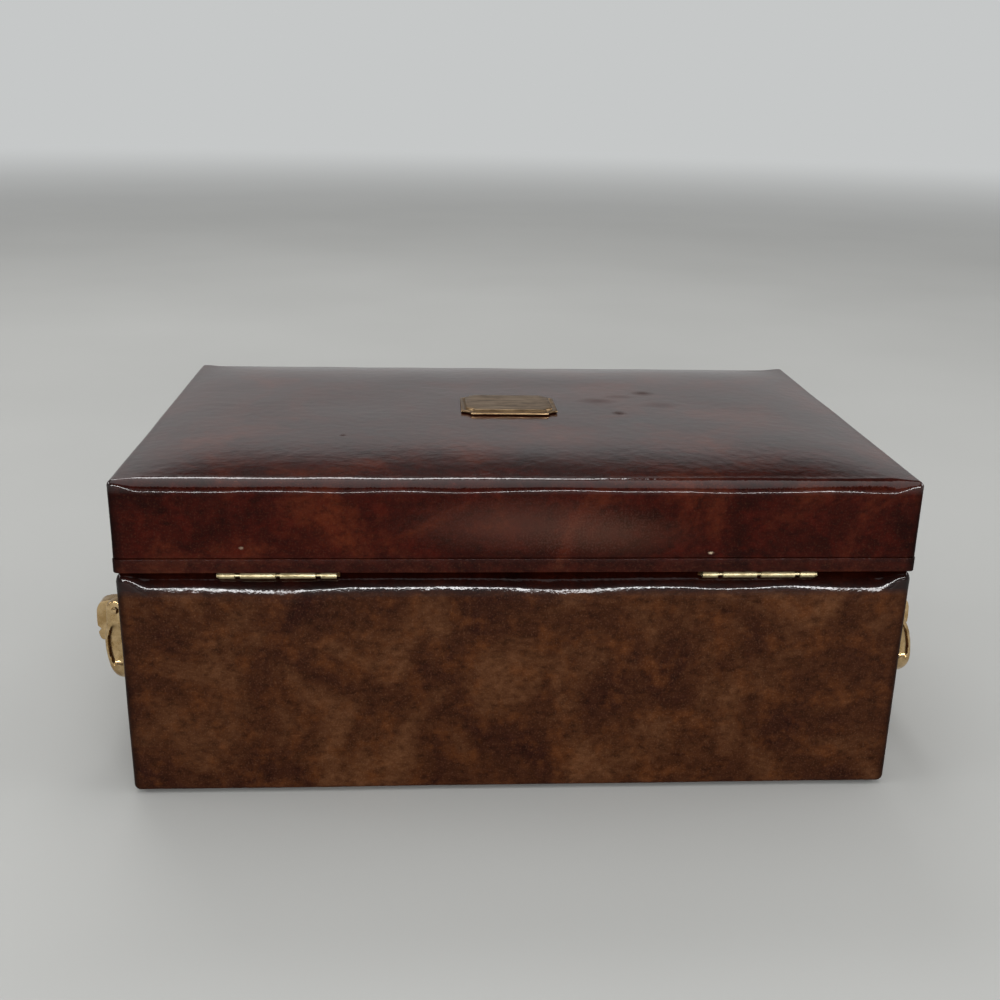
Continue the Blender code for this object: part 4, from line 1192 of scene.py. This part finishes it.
@dataclass(frozen=True)
class HandlePost:
    """A cast post: a rosette on the wall, a turned stem, and a hooked head with a groove round its nose."""

    width: float = 0.0062
    head_reach: float = 0.009
    head_drop: float = 0.0155
    chamfer: float = 0.0014
    groove: float = 0.0022
    groove_drop: float = 0.0106
    foot: float = -0.0122
    stem_radius: float = 0.003
    stem_length: float = 0.0089
    stem_drop: float = 0.0017
    rosette: float = 0.007
    rosette_thickness: float = 0.0014
    cove: float = 0.002
    pin_bore: float = 0.0015
    screw_bore: float = 0.0018
    sides: int = 56
    # The head from the side, as shares of its reach and drop from the pivot
    outline: tuple[tuple[float, float], ...] = (
        (-0.63, 0.15), (0.10, 0.16), (0.50, 0.14), (0.80, 0.07), (0.95, -0.08), (0.99, -0.27),
        (1.00, -0.50), (0.98, -0.71), (0.95, -0.85), (0.86, -0.97), (0.74, -1.00), (0.62, -0.94),
        (0.49, -0.75), (0.34, -0.54), (0.05, -0.40), (-0.63, -0.41),
    )

    def head(self) -> bpy.types.Object:
        """Makes the hooked head about the pivot, flat sides along Y."""
        curve = bpy.data.curves.new("head", "CURVE")
        curve.dimensions = "2D"
        curve.fill_mode = "BOTH"
        curve.resolution_u = 5
        curve.extrude = self.width / 2
        spline = curve.splines.new("BEZIER")
        spline.use_cyclic_u = True
        spline.bezier_points.add(len(self.outline) - 1)
        for knot, (out, up) in zip(spline.bezier_points, self.outline):
            knot.co = (out * self.head_reach, up * self.head_drop, 0)
            knot.handle_left_type = "AUTO"
            knot.handle_right_type = "AUTO"
        blank = bpy.data.objects.new("head", curve)
        bpy.context.scene.collection.objects.link(blank)
        weld = blank.modifiers.new("Weld", "WELD")
        weld.merge_threshold = 0.00001
        rounding = blank.modifiers.new("Rounding", "BEVEL")
        rounding.width = self.chamfer
        rounding.segments = 5
        rounding.angle_limit = math.radians(40)
        graph = bpy.context.evaluated_depsgraph_get()
        mesh = bpy.data.meshes.new_from_object(blank.evaluated_get(graph))
        bpy.data.objects.remove(blank)
        mesh.transform(Matrix.Rotation(math.radians(90), 4, "X"))
        head = bpy.data.objects.new("post", mesh)
        bpy.context.scene.collection.objects.link(head)
        return head

    def stem(self) -> bmesh.types.BMesh:
        """Makes the rosette and stem along +X, with a stepped and coved rosette."""
        top = self.foot + self.stem_length
        face = self.foot + self.rosette_thickness
        rim = self.rosette
        profile = [(self.foot, rim), (self.foot + 0.5 * self.rosette_thickness, rim)]
        profile += [(face - 0.0003, rim - 0.0002), (face, rim - 0.0006), (face, rim - 0.0012)]
        profile += [(face - 0.0002, rim - 0.0014), (face, rim - 0.0016)]
        for step in range(9):
            angle = math.radians(270 - 90 * step / 8)
            across = self.stem_radius + self.cove + self.cove * math.cos(angle)
            profile.append((face + self.cove + self.cove * math.sin(angle), across))
        profile.append((top, self.stem_radius))
        rings = []
        turn = np.linspace(0, 2 * math.pi, self.sides, endpoint=False)
        for out, radius in profile:
            rings.append(np.column_stack([
                np.full(self.sides, out), radius * np.cos(turn), radius * np.sin(turn) - self.stem_drop,
            ]))
        return rings_to_shape(rings, False)

    def build(self, finish: bpy.types.Material) -> None:
        """Makes all four posts."""
        head = self.head()
        bores = bmesh.new()
        upright = Matrix.Rotation(math.radians(90), 4, "X")
        lying = Matrix.Rotation(math.radians(90), 4, "Y")
        bmesh.ops.create_cone(
            bores, cap_ends=True, segments=32, radius1=self.pin_bore, radius2=self.pin_bore, depth=0.02,
            matrix=upright,
        )
        bmesh.ops.create_cone(
            bores, cap_ends=True, segments=32, radius1=self.screw_bore, radius2=self.screw_bore, depth=0.0162,
            matrix=Matrix.Translation((self.foot, 0, -self.stem_drop)) @ lying,
        )
        notch = bmesh.new()
        tilted = Matrix.Translation((self.head_reach, 0, -self.groove_drop)) @ Matrix.Rotation(math.radians(45), 4, "Y")
        size = Matrix.Diagonal((self.groove, 2 * self.width, self.groove, 1))
        bmesh.ops.create_cube(notch, size=1.0, matrix=tilted @ size)
        for operation, shape in (("UNION", self.stem()), ("DIFFERENCE", notch), ("DIFFERENCE", bores)):
            tool = object_from("tool", shape)
            step = head.modifiers.new(operation, "BOOLEAN")
            step.operation = operation
            step.object = tool
            applied(head)
            bpy.data.objects.remove(tool)
        for side, sign in (("left", -1), ("right", 1)):
            for end, y in (("front", -SIZES.post_y), ("back", SIZES.post_y)):
                mesh = head.data.copy()
                turned = Matrix.Rotation(0 if sign > 0 else math.pi, 4, "Z")
                mesh.transform(Matrix.Translation((sign * SIZES.pivot_x, y, SIZES.pivot_z)) @ turned)
                mesh.shade_smooth()
                mesh.set_sharp_from_angle(angle=math.radians(32))
                post = bpy.data.objects.new(f"{side}_{end}_cast_post", mesh)
                bpy.context.scene.collection.objects.link(post)
                dress(post, Body.BASE, finish, [f"{side}_{end}_handle_post"])
        bpy.data.objects.remove(head)


@dataclass(frozen=True)
class Bail:
    """A cast bail about its pivot, +X outwards: flat arms with a dished recess each, and a swelling grip."""

    drop: float = 0.0308
    corner: float = 0.007
    arm_thickness: float = 0.005
    arm_half_width: float = 0.00445
    arm_y: float = 0.0523
    grip_radius: float = 0.0036
    grip_swell: float = 0.00055
    curl: float = 0.0013
    bore: float = 0.0015
    dish_length: float = 0.0212
    dish_width: float = 0.0060
    dish_depth: float = 0.0015
    dish_drop: float = 0.0166
    sides: int = 60
    # The arm from the eye down: how far down, how far out its middle stands and how wide it is, as shares
    arm: tuple[tuple[float, float, float], ...] = (
        (0.00, 0.00, 0.90), (0.24, 0.12, 0.90), (0.40, 0.78, 0.98), (0.60, 0.70, 1.00),
        (0.78, 0.10, 0.98), (0.92, -0.50, 0.90), (1.00, -1.00, 0.80),
    )

    def arm_share(self, down: float) -> tuple[float, float]:
        """How far out the arm's middle stands and how wide it is, at a share of the drop."""
        places = [stop[0] for stop in self.arm]
        soft = np.linspace(max(down - 0.06, 0), min(down + 0.06, 1), 7)
        out = float(np.mean(np.interp(soft, places, [stop[1] for stop in self.arm])))
        width = float(np.mean(np.interp(soft, places, [stop[2] for stop in self.arm])))
        return (out, width) if 0.06 < down < 0.94 else tuple(
            float(np.interp(down, places, [stop[column] for stop in self.arm])) for column in (1, 2)
        )

    def stations(self) -> list[tuple[Vector, float, float, float, float]]:
        """Stations from the eye to the grip's middle: centre, lean, half width, half thickness, squareness."""
        made = []
        straight_run = self.drop - self.corner
        eye = self.arm_share(0)[1] * self.arm_half_width
        half = self.arm_thickness / 2
        for step in range(10):
            angle = math.radians(84 - 84 * step / 10)
            centre = Vector((0, self.arm_y, eye * math.sin(angle)))
            made.append((centre, 0.0, eye * math.cos(angle), half * (0.86 + 0.14 * math.cos(angle)), 4.0))
        for step in range(45):
            height = -straight_run * step / 44
            out, width = self.arm_share(-height / self.drop)
            centre = Vector((out * self.curl, self.arm_y, height))
            made.append((centre, 0.0, width * self.arm_half_width, half, 4.0))
        for step in range(1, 13):
            share = step / 12
            lean = math.radians(90 * share)
            across = self.arm_y - self.corner + self.corner * math.cos(lean)
            height = -straight_run - self.corner * math.sin(lean)
            out, width = self.arm_share(-height / self.drop)
            thick = half + (self.grip_radius - half) * share
            centre = Vector((out * self.curl, across, height))
            made.append((centre, lean, width * self.arm_half_width, thick, 4.0 - 2.0 * share))
        run = self.arm_y - self.corner
        for step in range(1, 17):
            share = step / 16
            radius = self.grip_radius + self.grip_swell * math.sin(math.radians(90 * share))
            centre = Vector((-self.curl, run * (1 - share), -self.drop))
            made.append((centre, math.radians(90), radius, radius, 2.0))
        return made

    def ring(self, station: tuple[Vector, float, float, float, float], mirror: int) -> np.ndarray:
        """Points round one station, with the dish pressed into the arm's outer face."""
        centre, lean, width, thick, squareness = station
        points = []
        for step in range(self.sides):
            angle = 2 * math.pi * step / self.sides
            cos, sin = math.cos(angle), math.sin(angle)
            wide = math.copysign(abs(cos) ** (2 / squareness), cos) * width
            deep = math.copysign(abs(sin) ** (2 / squareness), sin) * thick
            if lean == 0 and deep > 0:
                away = abs(2 * wide / self.dish_width) ** 2.4
                away += abs(2 * (centre.z + self.dish_drop) / self.dish_length) ** 2.4
                deep -= self.dish_depth * math.sqrt(max(1 - away, 0))
            x = centre.x + wide
            y = centre.y + math.cos(lean) * deep
            points.append((x, y * mirror, centre.z - math.sin(lean) * deep))
        return np.array(points)

    def build(self, name: str, body: Body, sign: int, swing: float, finish: bpy.types.Material) -> None:
        """Makes one bail where its solid hangs.

        Args:
            name: The bail's solid.
            body: Its body.
            sign: 1 on the right side and -1 on the left.
            swing: How far it hangs outwards, in degrees.
            finish: Its material.
        """
        half = self.stations()
        rings = [self.ring(station, 1) for station in half]
        rings += [self.ring(station, -1) for station in reversed(half[:-1])]
        piece = object_from(name + "_cast", rings_to_shape(rings, False), 38)
        bores = bmesh.new()
        for end in (-1, 1):
            place = Matrix.Translation((0, end * self.arm_y, 0)) @ Matrix.Rotation(math.radians(90), 4, "X")
            bmesh.ops.create_cone(
                bores, cap_ends=True, segments=32, radius1=self.bore, radius2=self.bore, depth=0.009, matrix=place,
            )
        tool = object_from("tool", bores)
        drill = piece.modifiers.new("Eyes", "BOOLEAN")
        drill.operation = "DIFFERENCE"
        drill.object = tool
        applied(piece)
        bpy.data.objects.remove(tool)
        turned = Matrix.Rotation(0 if sign > 0 else math.pi, 4, "Z")
        hanging = Matrix.Rotation(math.radians(-swing), 4, "Y")
        piece.data.transform(Matrix.Translation((sign * SIZES.pivot_x, 0, SIZES.pivot_z)) @ turned @ hanging)
        piece.data.shade_smooth()
        piece.data.set_sharp_from_angle(angle=math.radians(38))
        dress(piece, body, finish, [name])


@dataclass(frozen=True)
class CarriedSolids:
    """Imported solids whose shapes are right, which only get their finish."""

    def build(self, finishes: dict[Slot, bpy.types.Material]) -> None:
        """Gives every solid that still shows the finish of its kind."""
        for name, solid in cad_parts.items():
            if "board" in name:
                slot = Slot.WOOD
            elif "hinge" in name:
                slot = Slot.HINGE_BRASS
            elif "bail" in name or "post" in name:
                slot = Slot.BRASS
            else:
                continue
            if not solid.material_slots:
                solid.data.materials.append(finishes[slot])
            for material_slot in solid.material_slots:
                material_slot.material = finishes[slot]


# The studio


@dataclass(frozen=True)
class Lamp:
    """A soft lamp: where it stands, what it aims at, its width and height, and its power in watts."""

    name: str
    place: tuple[float, float, float]
    aim: tuple[float, float, float]
    size: tuple[float, float]
    power: float

    def build(self) -> None:
        """Makes the lamp."""
        data = bpy.data.lights.new(self.name, "AREA")
        data.shape = "RECTANGLE"
        data.size, data.size_y = self.size
        data.energy = self.power
        lamp = bpy.data.objects.new(self.name, data)
        direction = Vector(self.aim) - Vector(self.place)
        lamp.matrix_world = Matrix.Translation(self.place) @ direction.to_track_quat("-Z", "Y").to_matrix().to_4x4()
        bpy.context.scene.collection.objects.link(lamp)


@dataclass(frozen=True)
class Studio:
    """The pale floor, the sky round it, the lamps and the camera."""

    floor_colour: str = "#b0b1af"
    backdrop: str = "#c6c8c8"
    sky_low: str = "#a9a8a8"
    sky_high: str = "#2c2725"
    floor_size: float = 12.0
    clear_to: float = 0.7
    lens: float = 42.754
    eye: tuple[float, float, float] = (0.03498, 0.50912, 0.26456)
    pitch: float = 18.923
    yaw: float = 3.643
    roll: float = -1.244
    lamps: tuple[Lamp, ...] = (
        Lamp("strip_behind_camera", (-0.1, 1.7, 0.47), (0, 0, 0.09), (1.7, 0.1), 23.0),
        Lamp("overhead", (0.1, 0.3, 1.9), (0, 0, 0.1), (2.4, 2.4), 15.0),
        Lamp("front_lamp", (0.3, -1.3, 1.7), (0, 0, 0.09), (1.4, 0.5), 12.0),
        Lamp("left_lamp", (-1.6, 0.2, 0.9), (0, 0, 0.08), (1.2, 0.3), 6.0),
        Lamp("right_lamp", (1.6, 0.2, 0.9), (0, 0, 0.08), (1.2, 0.3), 6.0),
    )

    def floor(self) -> None:
        """Lays the floor."""
        shape = bmesh.new()
        bmesh.ops.create_grid(shape, x_segments=1, y_segments=1, size=self.floor_size / 2)
        ground = object_from("floor", shape)
        finish, tree, shader, place = new_finish("pale_table_top")
        # A faint unevenness that keeps the floor from looking like a flat tint
        clouds = add_node(tree, "ShaderNodeTexNoise", {"Scale": 3.0, "Detail": 3.0}, {"Vector": place})
        stops = [(0.3, self.floor_colour), (0.7, "#b5b6b4")]
        colour = add_node(tree, "ShaderNodeValToRGB", {"stops": stops}, {"Fac": clouds.outputs["Fac"]})
        tree.links.new(colour.outputs["Color"], shader.inputs["Base Color"])
        shader.inputs["Roughness"].default_value = 0.8
        # Far off it turns into the backdrop, so that no horizon shows
        away = add_node(tree, "ShaderNodeVectorMath", {"operation": "LENGTH"}, {0: place})
        far = add_node(
            tree, "ShaderNodeMapRange",
            {"interpolation_type": "SMOOTHSTEP", "From Min": self.clear_to, "From Max": self.floor_size / 2.2},
            {"Value": away.outputs["Value"]},
        )
        haze = add_node(tree, "ShaderNodeEmission", {"Color": linear(self.backdrop)})
        output = next(part for part in tree.nodes if part.type == "OUTPUT_MATERIAL")
        blended = add_node(
            tree, "ShaderNodeMixShader",
            links={0: far.outputs["Result"], 1: shader.outputs["BSDF"], 2: haze.outputs[0]},
        )
        tree.links.new(blended.outputs[0], output.inputs["Surface"])
        ground.data.materials.append(finish)

    def sky(self) -> None:
        """Makes the sky: pale low down and darker overhead in reflections, and dimmer as a light."""
        world = bpy.data.worlds.new("studio")
        bpy.context.scene.world = world
        world.use_nodes = True
        tree = world.node_tree
        tree.nodes.clear()
        direction = add_node(tree, "ShaderNodeTexCoord").outputs["Generated"]
        height = add_node(tree, "ShaderNodeSeparateXYZ", links={"Vector": direction}).outputs["Z"]
        stops = [(0.0, self.sky_low), (0.36, self.sky_low), (0.52, self.sky_high), (1.0, self.sky_high)]
        mirrored = add_node(tree, "ShaderNodeValToRGB", {"stops": stops}, {"Fac": height})
        path = add_node(tree, "ShaderNodeLightPath")
        seen = add_node(
            tree, "ShaderNodeMath", {"operation": "MAXIMUM"},
            {0: path.outputs["Is Glossy Ray"], 1: path.outputs["Is Transmission Ray"]},
        )
        fill = add_node(tree, "ShaderNodeBackground", {"Color": linear("#bdbcba"), "Strength": 0.75})
        mirror = add_node(tree, "ShaderNodeBackground", {"Strength": 1.0}, {"Color": mirrored.outputs["Color"]})
        backdrop = add_node(tree, "ShaderNodeBackground", {"Color": linear(self.backdrop)})
        lit = add_node(
            tree, "ShaderNodeMixShader",
            links={0: seen.outputs[0], 1: fill.outputs[0], 2: mirror.outputs[0]},
        )
        shown = add_node(
            tree, "ShaderNodeMixShader",
            links={0: path.outputs["Is Camera Ray"], 1: lit.outputs[0], 2: backdrop.outputs[0]},
        )
        add_node(tree, "ShaderNodeOutputWorld", links={"Surface": shown.outputs[0]})

    def camera(self) -> None:
        """Sets up the camera at the photograph's angle."""
        pitch, yaw, roll = (math.radians(angle) for angle in (self.pitch, self.yaw, self.roll))
        ahead = Vector((-math.sin(yaw) * math.cos(pitch), -math.cos(yaw) * math.cos(pitch), -math.sin(pitch)))
        level = Vector((-math.cos(yaw), math.sin(yaw), 0))
        upright = level.cross(ahead)
        across = level * math.cos(roll) - upright * math.sin(roll)
        up = level * math.sin(roll) + upright * math.cos(roll)
        matrix = Matrix((across, up, -ahead)).transposed().to_4x4()
        matrix.translation = self.eye
        data = bpy.data.cameras.new("camera")
        data.sensor_fit = "HORIZONTAL"
        data.sensor_width = 36.0
        data.lens = self.lens
        data.clip_start = 0.01
        camera = bpy.data.objects.new("camera", data)
        camera.matrix_world = matrix
        bpy.context.scene.collection.objects.link(camera)
        bpy.context.scene.camera = camera

    def build(self) -> None:
        """Makes the studio."""
        self.camera()
        self.floor()
        self.sky()
        for lamp in self.lamps:
            lamp.build()
        bpy.context.scene.view_settings.view_transform = "Standard"


def main() -> None:
    """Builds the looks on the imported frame."""
    logging.basicConfig(level=logging.INFO, format="%(name)s %(message)s")
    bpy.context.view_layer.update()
    finishes = make_finishes()
    outline = Outline()
    BaseSkin(SIZES, outline).build(finishes[Slot.LEATHER])
    LidSkin(SIZES, outline).build(lid_leather_finish(), finishes[Slot.WADDING])
    EdgeBand(SIZES, outline).build(finishes[Slot.BAND])
    Lining().build(finishes[Slot.SUEDE])
    FeltSheet().build(finishes[Slot.FELT])
    LidPlate().build(finishes[Slot.PLATE_BRASS])
    HandlePost().build(finishes[Slot.BRASS])
    Bail().build("right_bail", Body.RIGHT_BAIL, 1, 0.0, finishes[Slot.BRASS])
    Bail().build("left_bail", Body.LEFT_BAIL, -1, 15.0, finishes[Slot.BRASS])
    CarriedSolids().build(finishes)
    Studio().build()


if __name__ == "__main__":
    main()
